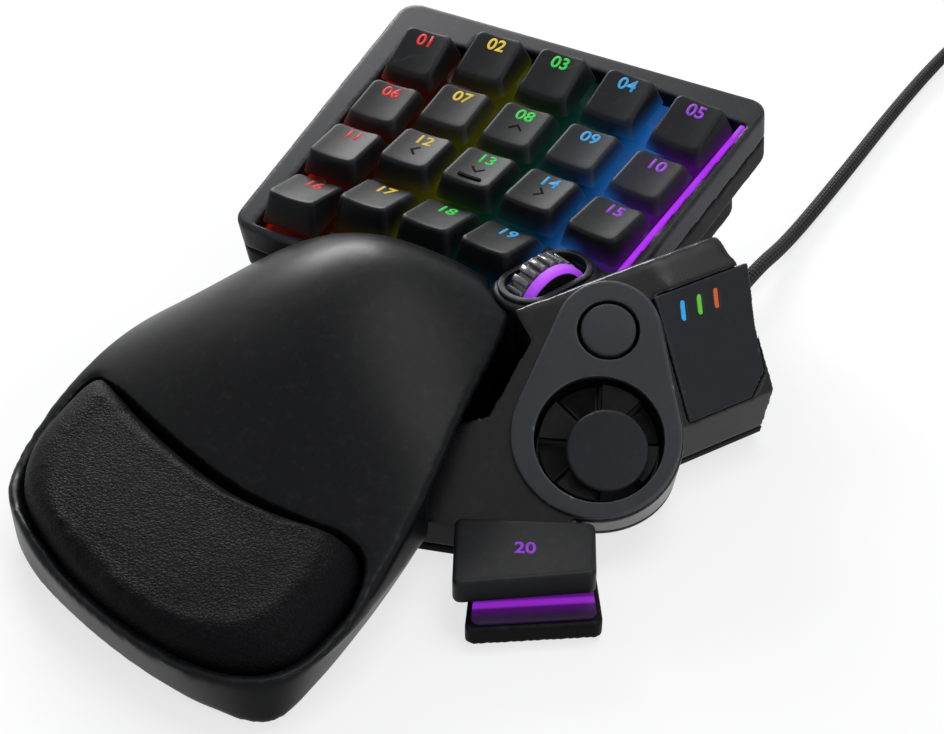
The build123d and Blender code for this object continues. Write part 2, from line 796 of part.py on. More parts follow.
# Dish of the thumb pad: a disc with raised petals, every other one lower
with BuildPart() as thumb_pad_dish:
    with BuildSketch(pad_plane.offset(dish_low)):
        Circle(pad_dish_radius)
    extrude(amount=pad_dish_thickness)
    with BuildSketch(pad_plane.offset(-pad_dish_top)):
        Circle(pad_dish_radius)
        Circle(petal_inner_radius, mode=Mode.SUBTRACT)
        with PolarLocations(0, petal_count):
            with Locations((pad_dish_radius / 2, 0)):
                Rectangle(pad_dish_radius, petal_slot_width, mode=Mode.SUBTRACT)
    extrude(amount=petal_height)
    with BuildSketch(pad_plane.offset(-pad_dish_top + petal_height / 2)):
        for petal in range(petal_count // 2):
            turn = radians((petal + 0.25) * 720 / petal_count)
            spread = pi / petal_count
            with BuildLine():
                Polyline((0, 0), (2 * reach * cos(turn - spread), 2 * reach * sin(turn - spread)),
                         (2 * reach * cos(turn + spread), 2 * reach * sin(turn + spread)), close=True)
            make_face()
    extrude(amount=petal_height, mode=Mode.SUBTRACT)
save(thumb_pad_dish, "thumb_pad_dish")

# Cap of the thumb pad: a disc on a short stem, leaning as the photo shows it
lean_x = -pad_cap_y / hypot(pad_cap_x, pad_cap_y) * pad_cap_lean
lean_y = pad_cap_x / hypot(pad_cap_x, pad_cap_y) * pad_cap_lean
cap_plane = Plane(pad_plane.location * Location((pad_cap_x, pad_cap_y, pad_cap_lift), (lean_x, lean_y, 0)))
with BuildPart() as thumb_pad_cap:
    with BuildSketch(cap_plane):
        Circle(pad_cap_radius)
    extrude(amount=-pad_cap_thickness)
    fillet(thumb_pad_cap.edges(), pad_cap_edge)
    with BuildSketch(pad_plane.offset(-pad_dish_top)):
        with Locations((pad_cap_x / 2, pad_cap_y / 2)):
            Circle(pad_stem_radius)
    extrude(amount=pad_dish_top + pad_cap_lift - pad_cap_thickness / 2)
save(thumb_pad_cap, "thumb_pad_cap")

with BuildPart() as thumb_button:
    with BuildSketch(pad_plane.offset(button_dome / 2)):
        with Locations((button_x, button_y)):
            Circle(button_radius)
    extrude(amount=-button_height)
    button_face = thumb_button.faces().sort_by(Axis(pad_plane.origin, module_normal))[-1]
    fillet(button_face.edges(), button_dome)
save(thumb_button, "thumb_button")


# Scroll wheel: its axle runs along the wheel plane's Y
hub_radius = wheel_radius - wheel_tyre_thickness
with BuildPart() as wheel_hub:
    with BuildSketch(axle_plane.offset(-wheel_hub_width / 2)):
        Circle(hub_radius)
        Circle(axle_radius, mode=Mode.SUBTRACT)
    extrude(amount=wheel_hub_width)
save(wheel_hub, "wheel_hub")

with BuildPart() as wheel_tyre:
    with BuildSketch(axle_plane.offset(wheel_hub_width / 2 - wheel_tyre_width)):
        Circle(wheel_radius)
        with PolarLocations(wheel_radius, wheel_rib_count):
            Rectangle(2 * wheel_rib_depth, wheel_rib_width, mode=Mode.SUBTRACT)
        Circle(hub_radius, mode=Mode.SUBTRACT)
    extrude(amount=wheel_tyre_width)
save(wheel_tyre, "wheel_tyre")

with BuildPart() as wheel_light_ring:
    with BuildSketch(axle_plane.offset(-wheel_hub_width / 2)):
        Circle(hub_radius + wheel_light_thickness)
        Circle(hub_radius, mode=Mode.SUBTRACT)
    extrude(amount=wheel_light_width)
save(wheel_light_ring, "wheel_light_ring")

with BuildPart() as wheel_axle:
    with BuildSketch(axle_plane.offset(-axle_length / 2)):
        Circle(axle_radius)
    extrude(amount=axle_length)
save(wheel_axle, "wheel_axle")

# Carriage: a fork that holds the axle and slides down when the wheel is pressed
with BuildPart() as wheel_carriage:
    with BuildSketch(wheel_plane.offset(carriage_low)):
        Rectangle(carriage_arm_width, 2 * arm_outside)
    extrude(amount=wheel_rise - wheel_radius + carriage_arm_rise - carriage_low)
    with BuildSketch(wheel_plane.offset(carriage_low + carriage_floor)):
        Rectangle(carriage_arm_width + overrun, wheel_hub_width + 2 * gap)
    extrude(amount=tall, mode=Mode.SUBTRACT)
    with BuildSketch(axle_plane.offset(-arm_outside - overrun)):
        Circle(axle_radius + gap)
    extrude(amount=2 * (arm_outside + overrun), mode=Mode.SUBTRACT)
save(wheel_carriage, "wheel_carriage")

with BuildPart() as wheel_bezel:
    with BuildSketch(wheel_plane):
        SlotOverall(bezel_length, bezel_width)
    extrude(amount=bezel_rise)
    fillet(wheel_bezel.faces().sort_by(Axis.Z)[-1].edges(), bezel_rise / 2)
    with BuildSketch(wheel_plane.offset(-bezel_skirt)):
        SlotOverall(bezel_open_length + 2 * bezel_skirt_wall, bezel_open_width + 2 * bezel_skirt_wall)
    extrude(amount=bezel_skirt)
    with BuildSketch(wheel_plane.offset(-bezel_skirt - overrun)):
        SlotOverall(bezel_open_length, bezel_open_width)
    extrude(amount=bezel_skirt + bezel_rise + 2 * overrun, mode=Mode.SUBTRACT)
save(wheel_bezel, "wheel_bezel")


# Thumb key: a hollow key over its own lit base
def plan_profile(shares, height, inset):
    with BuildSketch(Plane.XY.offset(height)) as profile:
        with BuildLine():
            Polyline(scaled(shares, reach), close=True)
        make_face()
        offset(amount=-inset, kind=Kind.INTERSECTION)
        fillet(profile.vertices(), thumb_corner_radius)
    return profile.sketch


thumb_key_bottom = thumb_key_top - thumb_key_height
with BuildPart() as thumb_key:
    extrude(plan_profile(thumb_key_shares, thumb_key_bottom, 0), amount=thumb_key_height)
    fillet(thumb_key.faces().sort_by(Axis.Z)[-1].edges(), thumb_key_edge)
    extrude(plan_profile(thumb_key_shares, thumb_key_bottom, thumb_key_wall),
            amount=thumb_key_height - thumb_key_wall, mode=Mode.SUBTRACT)
    with BuildSketch(Plane(origin=(thumb_plunger_x, thumb_plunger_y, thumb_plunger_bottom),
                           x_dir=module_across, z_dir=(0, 0, 1))):
        Rectangle(thumb_plunger_width, thumb_plunger_width)
    extrude(amount=thumb_key_top - thumb_key_wall - thumb_plunger_bottom)
save(thumb_key, "thumb_key")

with BuildPart() as thumb_key_base:
    extrude(plan_profile(thumb_base_shares, thumb_base_bottom, 0),
            amount=thumb_base_top - thumb_base_bottom)
    extrude(plan_profile(thumb_tongue_shares, thumb_base_bottom, 0), amount=base_z - thumb_base_bottom)
    with BuildSketch(Plane(origin=(thumb_plunger_x, thumb_plunger_y, thumb_socket_floor),
                           x_dir=module_across, z_dir=(0, 0, 1))):
        Rectangle(thumb_plunger_width + 2 * gap, thumb_plunger_width + 2 * gap)
    extrude(amount=thumb_base_top, mode=Mode.SUBTRACT)
save(thumb_key_base, "thumb_key_base")

with BuildPart() as thumb_key_light_bar:
    extrude(plan_profile(thumb_base_shares, thumb_base_top, thumb_light_inset),
            amount=thumb_light_height)
    with BuildSketch(Plane(origin=(thumb_plunger_x, thumb_plunger_y, thumb_base_top - overrun),
                           x_dir=module_across, z_dir=(0, 0, 1))):
        Rectangle(thumb_plunger_width + 2 * gap, thumb_plunger_width + 2 * gap)
    extrude(amount=thumb_light_height + 2 * overrun, mode=Mode.SUBTRACT)
save(thumb_key_light_bar, "thumb_key_light_bar")

# Bottom plate under the deck, the spine and the thumb module
post_places = [(main_board_x + x * (main_board_length / 2 - post_inset),
                main_board_y + y * (main_board_width / 2 - post_inset)) for x in (-1, 1) for y in (-1, 1)]
with BuildPart() as bottom_plate:
    add(deck_body(0, foot_height, 0))
    with BuildSketch(Plane.XY.offset(foot_height)):
        with Locations(((spine_left + spine_right) / 2, (spine_front + spine_back) / 2)):
            Rectangle(spine_right - spine_left, spine_back - spine_front)
        with BuildLine():
            Polyline(scaled(plate_web_shares, reach), close=True)
        make_face()
    extrude(amount=plate_thickness)
    add(module_block(foot_height))
    split(bisect_by=Plane.XY.offset(base_z), keep=Keep.BOTTOM)
    extrude(plan_profile(thumb_base_shares, 0, -gap), amount=tall, mode=Mode.SUBTRACT)
    extrude(plan_profile(thumb_tongue_shares, 0, -gap), amount=tall, mode=Mode.SUBTRACT)
    with BuildSketch(Plane(origin=(outlet_x, outlet_start, outlet_z), x_dir=(1, 0, 0), z_dir=(0, 1, 0))):
        Circle(outlet_radius + gap)
    extrude(amount=outlet_end - outlet_start, mode=Mode.SUBTRACT)
    with BuildSketch(Plane.XY.offset(base_z)):
        with Locations(*post_places):
            Circle(post_radius)
    extrude(amount=post_height)
    with BuildSketch():
        with Locations(*scaled(screw_shares, reach)):
            Circle(screw_radius)
    extrude(amount=tall, mode=Mode.SUBTRACT)
    with BuildSketch():
        with Locations(*scaled(screw_shares, reach)):
            Circle(screw_head_radius)
    extrude(amount=foot_height + screw_head_height, mode=Mode.SUBTRACT)
save(bottom_plate, "bottom_plate")

with BuildPart() as screws:
    with BuildSketch(Plane.XY.offset(foot_height)):
        with Locations(*scaled(screw_shares, reach)):
            Circle(screw_head_radius)
    extrude(amount=screw_head_height)
    with BuildSketch(Plane.XY.offset(foot_height + screw_head_height)):
        with Locations(*scaled(screw_shares, reach)):
            Circle(screw_radius)
    extrude(amount=plate_thickness - screw_head_height)
save(screws, "screws")

with BuildPart() as rubber_feet:
    with BuildSketch():
        with Locations(*scaled(foot_shares, reach)):
            Circle(foot_radius)
    extrude(amount=foot_height)
save(rubber_feet, "rubber_feet")

with BuildPart() as main_board:
    with BuildSketch(Plane.XY.offset(base_z + post_height)):
        with Locations((main_board_x, main_board_y)):
            Rectangle(main_board_length, main_board_width)
    extrude(amount=board_thickness)
save(main_board, "main_board")


# Cable: strain relief, free run, coil with its tie, free end and plug
with BuildPart() as cable_strain_relief:
    groove_pitch = relief_length / (relief_grooves + 1)
    groove_width = groove_pitch * relief_groove_share
    taper = (relief_root_radius - relief_tip_radius) / relief_length
    with BuildSketch(Plane(origin=(outlet_x, outlet_end, outlet_z), x_dir=(1, 0, 0), z_dir=(0, 0, 1))):
        with BuildLine():
            Polyline((0, 0), (relief_root_radius, 0), (relief_tip_radius, relief_length),
                     (0, relief_length), close=True)
        make_face()
        for groove in range(relief_grooves):
            along = (groove + 1) * groove_pitch
            with Locations((relief_root_radius - taper * along, along)):
                Rectangle(2 * relief_groove, groove_width, mode=Mode.SUBTRACT)
    revolve(axis=Axis((outlet_x, outlet_end, outlet_z), (0, 1, 0)))
save(cable_strain_relief, "cable_strain_relief")


# A tube along straight runs joined by the largest tangent arcs that the runs allow
def cord_tube(route, name):
    points = [Vector(*point) for point in route]
    runs = [after - before for before, after in zip(points, points[1:])]
    radii = []
    for before, after in zip(runs, runs[1:]):
        half_turn = radians(before.get_angle(after) / 2)
        radii.append(arc_share * min(before.length, after.length) / tan(half_turn))
    with BuildPart() as tube:
        with BuildLine() as path:
            FilletPolyline(*points, radius=radii)
        wire = path.wires()[0]
        with BuildSketch(Plane(origin=wire @ 0, z_dir=wire % 0)):
            Circle(cord_diameter / 2)
        sweep(path=wire)
    print(name, "radii", [round(radius, 1) for radius in radii], "length", round(wire.length, 1))
    print(name, "volume over section times length",
          round(tube.part.volume / (pi * cord_diameter ** 2 / 4 * wire.length), 4))
    return tube


save(cord_tube(cable_route, "usb_cable"), "usb_cable")
save(cord_tube(tail_route, "cable_tail"), "cable_tail")

# Outer shape of the coil, with a short straight of the cord at each end
coil_half_width = (coil_pitch * coil_turns + cord_diameter) / 2 + coil_margin
coil_height = coil_rise * (coil_layers - 1) + cord_diameter + 2 * coil_margin
coil_first = coil_low + coil_margin + cord_diameter / 2
coil_edge = cord_diameter / 3
coil_left = coil_x - coil_radius - coil_pitch * coil_turns / 2
with BuildPart() as cable_coil:
    with BuildSketch(Plane(origin=(coil_x, coil_y, coil_low), x_dir=(1, 0, 0), z_dir=(0, -1, 0))) as section:
        with Locations((coil_radius, coil_height / 2)):
            Rectangle(2 * coil_half_width, coil_height)
        chamfer(section.vertices(), coil_edge)
    revolve(axis=Axis((coil_x, coil_y, 0), (0, 0, 1)))
    for side, level in ((-1, 0), (1, coil_layers - 1)):
        with BuildSketch(Plane(origin=(coil_left, coil_y, coil_first + level * coil_rise),
                               x_dir=(1, 0, 0), z_dir=(0, side, 0))):
            Circle(cord_diameter / 2)
        extrude(amount=coil_stub)
save(cable_coil, "cable_coil")

with BuildPart() as cable_tie:
    with BuildSketch(Plane(origin=(coil_x, coil_y - coil_radius, coil_low + coil_height / 2),
                           x_dir=(0, 1, 0), z_dir=(1, 0, 0))):
        Rectangle(2 * coil_half_width + 4 * gap + 2 * tie_thickness, coil_height + 2 * (gap + tie_thickness))
        Rectangle(2 * coil_half_width + 4 * gap, coil_height + 2 * gap, mode=Mode.SUBTRACT)
    extrude(amount=tie_width / 2, both=True)
save(cable_tie, "cable_tie")

plug_plane = Plane(origin=(plug_x, plug_y + plug_length / 2, coil_low + coil_height + gap + plug_height / 2),
                   x_dir=(1, 0, 0), z_dir=(0, -1, 0))
with BuildPart() as usb_plug_body:
    with BuildSketch(plug_plane):
        RectangleRounded(plug_width, plug_height, plug_edge)
    extrude(amount=plug_length)
    with BuildSketch(plug_plane.offset(plug_length)):
        with Locations((0, (shell_height - plug_tongue_height) / 2 - shell_wall - gap)):
            Rectangle(plug_tongue_width, plug_tongue_height)
    extrude(amount=shell_length - overrun)
save(usb_plug_body, "usb_plug_body")

with BuildPart() as usb_plug_shell:
    with BuildSketch(plug_plane.offset(plug_length)):
        Rectangle(shell_width, shell_height)
        Rectangle(shell_width - 2 * shell_wall, shell_height - 2 * shell_wall, mode=Mode.SUBTRACT)
    extrude(amount=shell_length)
save(usb_plug_shell, "usb_plug_shell")
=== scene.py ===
import json
import math

import bmesh
import bpy
from mathutils import Euler, Matrix, Vector
from mathutils.bvhtree import BVHTree


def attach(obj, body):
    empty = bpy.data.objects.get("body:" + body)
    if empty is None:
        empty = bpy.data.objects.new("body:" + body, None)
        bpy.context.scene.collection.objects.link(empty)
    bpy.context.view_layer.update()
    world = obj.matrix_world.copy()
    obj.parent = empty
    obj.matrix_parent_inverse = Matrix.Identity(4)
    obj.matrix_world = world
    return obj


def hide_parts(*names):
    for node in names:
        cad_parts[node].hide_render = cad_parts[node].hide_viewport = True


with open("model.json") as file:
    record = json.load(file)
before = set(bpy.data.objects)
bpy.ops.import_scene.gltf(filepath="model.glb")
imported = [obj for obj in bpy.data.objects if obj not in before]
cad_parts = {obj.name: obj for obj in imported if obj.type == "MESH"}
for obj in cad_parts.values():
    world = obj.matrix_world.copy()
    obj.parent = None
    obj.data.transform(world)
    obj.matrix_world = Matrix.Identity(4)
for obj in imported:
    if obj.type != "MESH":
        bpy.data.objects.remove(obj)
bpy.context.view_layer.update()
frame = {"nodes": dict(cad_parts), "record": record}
record = frame["record"]
body_of = {node: body for body, nodes in record["behaviour"]["bodies"].items() for node in nodes}
MM = 0.001


def mm(x, y, z):
    return Vector((x, y, z)) * MM


def plain(red, green, blue):
    """Linear colour of a colour given as it is seen on a screen, 0 to 255."""
    shades = []
    for value in (red, green, blue):
        share = value / 255
        shades.append(share / 12.92 if share <= 0.04045 else ((share + 0.055) / 1.055) ** 2.4)
    return (*shades, 1)


# Camera, at the photograph's viewing angle
camera_data = bpy.data.cameras.new("camera")
camera_data.lens = 68.64
camera_data.sensor_width = 36
camera_data.clip_start = 0.01
camera_data.clip_end = 20
camera = bpy.data.objects.new("camera", camera_data)
camera.location = mm(176.7, -274.8, 279.6)
azimuth, elevation = math.radians(31.01), math.radians(38.64)
camera.rotation_euler = Euler((math.pi / 2 - elevation, 0, azimuth))
bpy.context.scene.collection.objects.link(camera)
bpy.context.scene.camera = camera


# Nodes. A value of a node is a number, a colour, or a source: another node with its output.
def plug(socket, value):
    if isinstance(value, tuple) and isinstance(value[0], bpy.types.Node):
        socket.id_data.links.new(value[0].outputs[value[1]], socket)
    else:
        socket.default_value = value


def feed(node, *firsts, **values):
    """Gives a node its values: the first ones by place, the rest by name with _ for a space."""
    for socket, value in zip(node.inputs, firsts):
        plug(socket, value)
    for name, value in values.items():
        plug(node.inputs[name.replace("_", " ")], value)
    return node


def add_node(beside, kind, *firsts, operation=None, **values):
    """Adds a node to a tree, or to the tree of the node beside it."""
    node = beside.id_data.nodes.new(kind)
    if operation:
        node.operation = operation
    return feed(node, *firsts, **values)


def math_node(operation, source, *others):
    return add_node(source[0], "ShaderNodeMath", source, *others, operation=operation), "Value"


def noise_node(source, scale, detail=3.0, roughness=0.55):
    return add_node(source[0], "ShaderNodeTexNoise", Vector=source, Scale=scale, Detail=detail,
                    Roughness=roughness), "Fac"


def spread_node(source, low, high, out_low=0.0, out_high=1.0):
    """Carries a number from one range to another, and stops at its ends."""
    return add_node(source[0], "ShaderNodeMapRange", Value=source, From_Min=low, From_Max=high,
                    To_Min=out_low, To_Max=out_high), "Result"


def share_node(source, out_low, out_high):
    """Carries a share to a range of its own."""
    return spread_node(source, 0.0, 1.0, out_low, out_high)


def split_node(source):
    return add_node(source[0], "ShaderNodeSeparateXYZ", source)


def ramp_node(source, stops):
    """Colours along a number. Each stop is a position with its red, green and blue."""
    ramp = add_node(source[0], "ShaderNodeValToRGB", source)
    for place, (position, colour) in ((0, stops[0]), (1, stops[-1])):
        ramp.color_ramp.elements[place].position = position
        ramp.color_ramp.elements[place].color = (*colour, 1)
    for position, colour in stops[1:-1]:
        ramp.color_ramp.elements.new(position).color = (*colour, 1)
    return ramp, "Color"


def mix_colours(mask, first, second):
    """Mixes two colours by a mask."""
    node = add_node(mask[0], "ShaderNodeMix", mask)
    node.data_type = "RGBA"
    plug(node.inputs[6], first)
    plug(node.inputs[7], second)
    return node, 2


# Shared shader groups
def shader_group(name, source, settings, outputs):
    """A group that takes a vector and some settings, and gives numbers."""
    tree = bpy.data.node_groups.new(name, "ShaderNodeTree")
    tree.interface.new_socket(source, in_out="INPUT", socket_type="NodeSocketVector")
    for socket, value in settings.items():
        tree.interface.new_socket(socket, in_out="INPUT", socket_type="NodeSocketFloat").default_value = value
    for socket in outputs:
        tree.interface.new_socket(socket, in_out="OUTPUT", socket_type="NodeSocketFloat")
    enter = tree.nodes.new("NodeGroupInput")
    return tree, enter, (enter, source), tree.nodes.new("NodeGroupOutput")


# Spark-eroded grain of moulded plastic: a fine height and a slow mottle
moulded_grain, enter, source, leave = shader_group(
    "moulded grain", "Coordinates", {"Grain Scale": 2600.0, "Mottle Scale": 55.0}, ("Height", "Mottle"))
fine = noise_node(source, (enter, "Grain Scale"), 2.0, 0.6)
slow = noise_node(source, (enter, "Mottle Scale"), 4.0, 0.6)
feed(leave, Height=fine, Mottle=spread_node(slow, 0.3, 0.7))

# Wear that polishes the edges, with a painted highlight along them, broken up by noise
edge_wear_and_highlight, enter, source, leave = shader_group("edge wear", "Coordinates", {"Amount": 1.0}, ("Mask",))
shape = edge_wear_and_highlight.nodes.new("ShaderNodeNewGeometry")
edge = spread_node((shape, "Pointiness"), 0.51, 0.60)
patches = spread_node(noise_node(source, 210.0), 0.35, 0.65, 0.35, 1.0)
worn_and_highlit = math_node("MULTIPLY", edge, patches)
feed(leave, Mask=math_node("MULTIPLY", worn_and_highlit, (enter, "Amount")))

# Thin dust that settles on what faces up
settled_dust, enter, source, leave = shader_group(
    "settled dust", "Coordinates", {"Amount": 0.05}, ("Mask",))
shape = settled_dust.nodes.new("ShaderNodeNewGeometry")
up = spread_node((split_node((shape, "Normal")), "Z"), 0.3, 1.0)
specks = spread_node(noise_node(source, 420.0, 6.0, 0.7), 0.52, 0.75)
dusty = math_node("MULTIPLY", up, specks)
feed(leave, Mask=math_node("MULTIPLY", dusty, (enter, "Amount")))

# Leather grain: pebbles between fine creases
leather_grain, enter, source, leave = shader_group(
    "leather grain", "Coordinates", {"Pebble Scale": 1150.0, "Crease Scale": 260.0}, ("Height", "Crease"))
bend = noise_node(source, 620.0, 2.0)[0]
bent = add_node(leather_grain, "ShaderNodeVectorMath", (bend, "Color"), (0.0012, 0.0012, 0.0012), source,
                operation="MULTIPLY_ADD")
depths = []
for scale, reach in (("Pebble Scale", 0.28), ("Crease Scale", 0.10)):
    cells = leather_grain.nodes.new("ShaderNodeTexVoronoi")
    cells.feature = "DISTANCE_TO_EDGE"
    feed(cells, Vector=(bent, "Vector"), Scale=(enter, scale))
    depths.append(spread_node((cells, "Distance"), 0.0, reach))
folds = share_node(depths[1], 0.0, 0.35)
feed(leave, Height=math_node("ADD", depths[0], folds), Crease=depths[0])

# Braid of a sleeved cord: two sets of strands that cross, on the cord's own UV map
braid_weave, enter, source, leave = shader_group(
    "braid weave", "UV", {"Strands": 8.0, "Pitch Per Metre": 300.0}, ("Height", "Gap"))
split = split_node(source)
along = math_node("MULTIPLY", (split, "X"), (enter, "Pitch Per Metre"))
round_cord = math_node("MULTIPLY", (split, "Y"), (enter, "Strands"))
waves = []
for operation in ("ADD", "SUBTRACT"):
    strands = math_node(operation, along, round_cord)
    waves.append(math_node("SINE", math_node("MULTIPLY", strands, 2 * math.pi)))
crossing = spread_node(math_node("MULTIPLY", *waves), -1.0, 1.0)
feed(leave, Height=crossing, Gap=spread_node(crossing, 0.35, 0.6))


# Materials
def start_material(name):
    made = bpy.data.materials.new(name)
    made.use_nodes = True
    coordinates = made.node_tree.nodes.new("ShaderNodeTexCoord")
    return made, made.node_tree.nodes["Principled BSDF"], (coordinates, "Object")


def place_group(group, source, **values):
    node = add_node(source[0], "ShaderNodeGroup")
    node.node_tree = group
    return feed(node, source, **values)


def raise_surface(shader, height, strength, distance):
    bump = add_node(shader, "ShaderNodeBump", Strength=strength, Distance=distance, Height=height)
    feed(shader, Normal=(bump, "Normal"))


def moulded(name, dark, light, worn_and_highlit, rough, grain=2600.0, depth=0.35, specular=0.35, wear_and_highlight=0.5,
                    dust=0.03):
    made, shader, source = start_material(name)
    grained = place_group(moulded_grain, source, Grain_Scale=grain)
    edges = place_group(edge_wear_and_highlight, source, Amount=wear_and_highlight)
    dusty = place_group(settled_dust, source, Amount=dust)
    colour = mix_colours((grained, "Mottle"), plain(*dark), plain(*light))
    # Lighter edges: real wear and a painted highlight along them
    colour = mix_colours((edges, "Mask"), colour, plain(*worn_and_highlit))
    feed(shader, Base_Color=mix_colours((dusty, "Mask"), colour, plain(150, 150, 150)),
         Roughness=share_node((grained, "Mottle"), rough - 0.03, rough + 0.04),
         Specular_IOR_Level=specular)
    raise_surface(shader, (grained, "Height"), depth, 0.00004)
    return made


def lit(name, colour, strength):
    """Clear plastic lit from inside, a little uneven."""
    made, shader, source = start_material(name)
    grained = place_group(moulded_grain, source, Mottle_Scale=140.0)
    dimmest = 0.72
    dimmer = tuple(value * dimmest for value in colour)
    feed(shader, Emission_Color=mix_colours((grained, "Mottle"), (*dimmer, 1), (*colour, 1)),
         Emission_Strength=strength, Base_Color=plain(12, 12, 14), Specular_IOR_Level=0.15,
         Roughness=share_node((grained, "Mottle"), 0.5, 0.62))
    return made


def opened(made):
    """The parts of a finished material, to build on."""
    nodes = made.node_tree.nodes
    return nodes["Principled BSDF"], (nodes["Texture Coordinate"], "Object")


shell_plastic = moulded("shell plastic", (8, 8, 10), (11, 11, 13), (44, 46, 50), 0.44, specular=0.05)
# The thumb housing's plastic is a lighter copy of the shell plastic: painted light where its ridge and flanks
# catch the lamps
ridge_plastic_painted_lighter = moulded(
    "thumb housing plastic painted lighter", (13, 13, 15), (17, 17, 20), (40, 41, 44), 0.28, specular=0.19, wear_and_highlight=0.15)
rest_plastic = moulded(
    "soft touch plastic", (9, 10, 12), (12, 13, 15), (34, 36, 39), 0.34, grain=3200.0, depth=0.15,
    specular=0.09, wear_and_highlight=0.3)
frame_plastic = moulded(
    "frame plastic", (22, 23, 27), (26, 27, 32), (88, 92, 98), 0.40, depth=0.25, specular=0.13)
# The faceplate's light edges are wear and a strong painted highlight
plate_plastic = moulded(
    "faceplate plastic", (40, 41, 45), (45, 46, 50), (104, 107, 112), 0.42, specular=0.18, wear_and_highlight=0.9)
cap_plastic = moulded(
    "thumb key plastic", (14, 15, 17), (18, 19, 21), (70, 72, 76), 0.38, grain=3400.0, depth=0.25,
    specular=0.12)
pad_plastic = moulded("thumb pad plastic", (28, 29, 32), (33, 34, 37), (80, 82, 86), 0.44, specular=0.12)
# The dish and the pad's pivot are darker than the pad: painted shade in the recess
dish_plastic_painted_shade = moulded("thumb dish plastic with painted shade", (9, 9, 11), (13, 13, 15), (44, 45, 48), 0.5, specular=0.10)
wheel_plastic = moulded("wheel plastic", (18, 18, 20), (24, 24, 26), (62, 62, 66), 0.3, specular=0.25)
# The light grey edges of the tread blocks are mostly a painted highlight
tread_rubber = moulded(
    "tread rubber", (20, 20, 22), (30, 30, 32), (120, 120, 124), 0.25, grain=4200.0, depth=0.4,
    specular=0.6, wear_and_highlight=0.9)
foot_rubber = moulded(
    "foot rubber", (20, 20, 21), (26, 26, 27), (44, 44, 45), 0.72, grain=1800.0, depth=0.6, specular=0.12)
relief_rubber = moulded(
    "cord rubber", (15, 15, 17), (20, 20, 22), (50, 50, 52), 0.55, grain=2200.0, depth=0.5, specular=0.15)
strap_rubber = moulded(
    "strap rubber", (20, 20, 22), (26, 26, 28), (54, 54, 58), 0.6, grain=1500.0, depth=0.8, specular=0.15)
rail_plastic = moulded("rail plastic", (52, 53, 56), (60, 61, 64), (96, 97, 100), 0.34, specular=0.2)
dome_silicone = moulded(
    "dome silicone", (150, 152, 158), (170, 172, 178), (190, 190, 195), 0.5, grain=1200.0)
engraved_black = moulded(
    "engraved black", (2, 2, 3), (4, 4, 5), (6, 6, 7), 0.6, specular=0.02, wear_and_highlight=0.0, dust=0.0)

# Steel with turned marks
steel, shader, source = start_material("turned steel")
stretch = add_node(shader, "ShaderNodeMapping", Vector=source, Scale=(1, 1, 24))
marks = noise_node((stretch, "Vector"), 380.0)
feed(shader, Base_Color=mix_colours(marks, plain(120, 121, 124), plain(176, 177, 180)),
     Roughness=spread_node(marks, 0.3, 0.7, 0.24, 0.42), Metallic=1.0)
raise_surface(shader, marks, 0.3, 0.00003)

# Circuit board: green lacquer over copper tracks
board_lacquer, shader, source = start_material("board lacquer")
tracks = add_node(shader, "ShaderNodeTexBrick", Vector=source, Scale=180.0, Mortar_Size=0.05,
                  Color1=plain(20, 62, 40), Color2=plain(24, 70, 45), Mortar=plain(52, 104, 60))
feed(shader, Base_Color=(tracks, "Color"),
     Roughness=share_node((tracks, "Fac"), 0.3, 0.45))
raise_surface(shader, (tracks, "Fac"), 0.4, 0.00005)

# Black leatherette with pebble grain
leatherette, shader, source = start_material("black leatherette")
pebbled = place_group(leather_grain, source)
mottled = place_group(moulded_grain, source, Mottle_Scale=38.0)
dusty = place_group(settled_dust, source, Amount=0.012)
# Darker between the pebbles: painted shade in the creases of the grain
colour = mix_colours((pebbled, "Crease"), plain(4, 4, 5), plain(12, 12, 15))
feed(shader, Base_Color=mix_colours((dusty, "Mask"), colour, plain(140, 140, 140)),
     Roughness=share_node((mottled, "Mottle"), 0.42, 0.54), Specular_IOR_Level=0.045)
raise_surface(shader, (pebbled, "Height"), 0.6, 0.00012)

# Braided sleeve of the cord
braid, shader, source = start_material("braided sleeve")
woven = place_group(braid_weave, (source[0], "UV"))
# Darker in the gaps between the strands: painted shade
feed(shader, Base_Color=mix_colours((woven, "Gap"), plain(4, 4, 5), plain(24, 24, 26)),
     Roughness=share_node((woven, "Gap"), 0.75, 0.5), Specular_IOR_Level=0.15)
raise_surface(shader, (woven, "Height"), 0.8, 0.0003)

# Light of the key well: its colour runs across the columns
deck_slope, deck_middle = math.radians(12.5), mm(-14, 84.5, 43)
floor_height = 0.0035
deck_normal = Vector((0, -math.sin(deck_slope), math.cos(deck_slope)))
well_colours, enter, source, leave = shader_group(
    "well colours", "Coordinates", {"Glow Reach": 0.004}, ("Spill",))
well_colours.interface.new_socket("Colour", in_out="OUTPUT", socket_type="NodeSocketColor")
across = spread_node((split_node(source), "X"), -0.065, 0.035)
feed(leave, Colour=ramp_node(across, (
    (0.0, (1.0, 0.01, 0.0)), (0.045, (0.8, 0.01, 0.0)), (0.09, (0.06, 0.002, 0.0)),
    (0.22, (0.022, 0.003, 0.0)), (0.33, (0.035, 0.024, 0.0)), (0.415, (0.07, 0.075, 0.0)),
    (0.46, (0.012, 0.03, 0.0)), (0.55, (0.002, 0.025, 0.008)), (0.62, (0.0, 0.04, 0.04)),
    (0.72, (0.0, 0.02, 0.06)), (0.775, (0.01, 0.13, 0.45)), (0.815, (0.02, 0.20, 0.75)),
    (0.86, (0.03, 0.02, 0.18)), (0.95, (0.09, 0.005, 0.18)))))
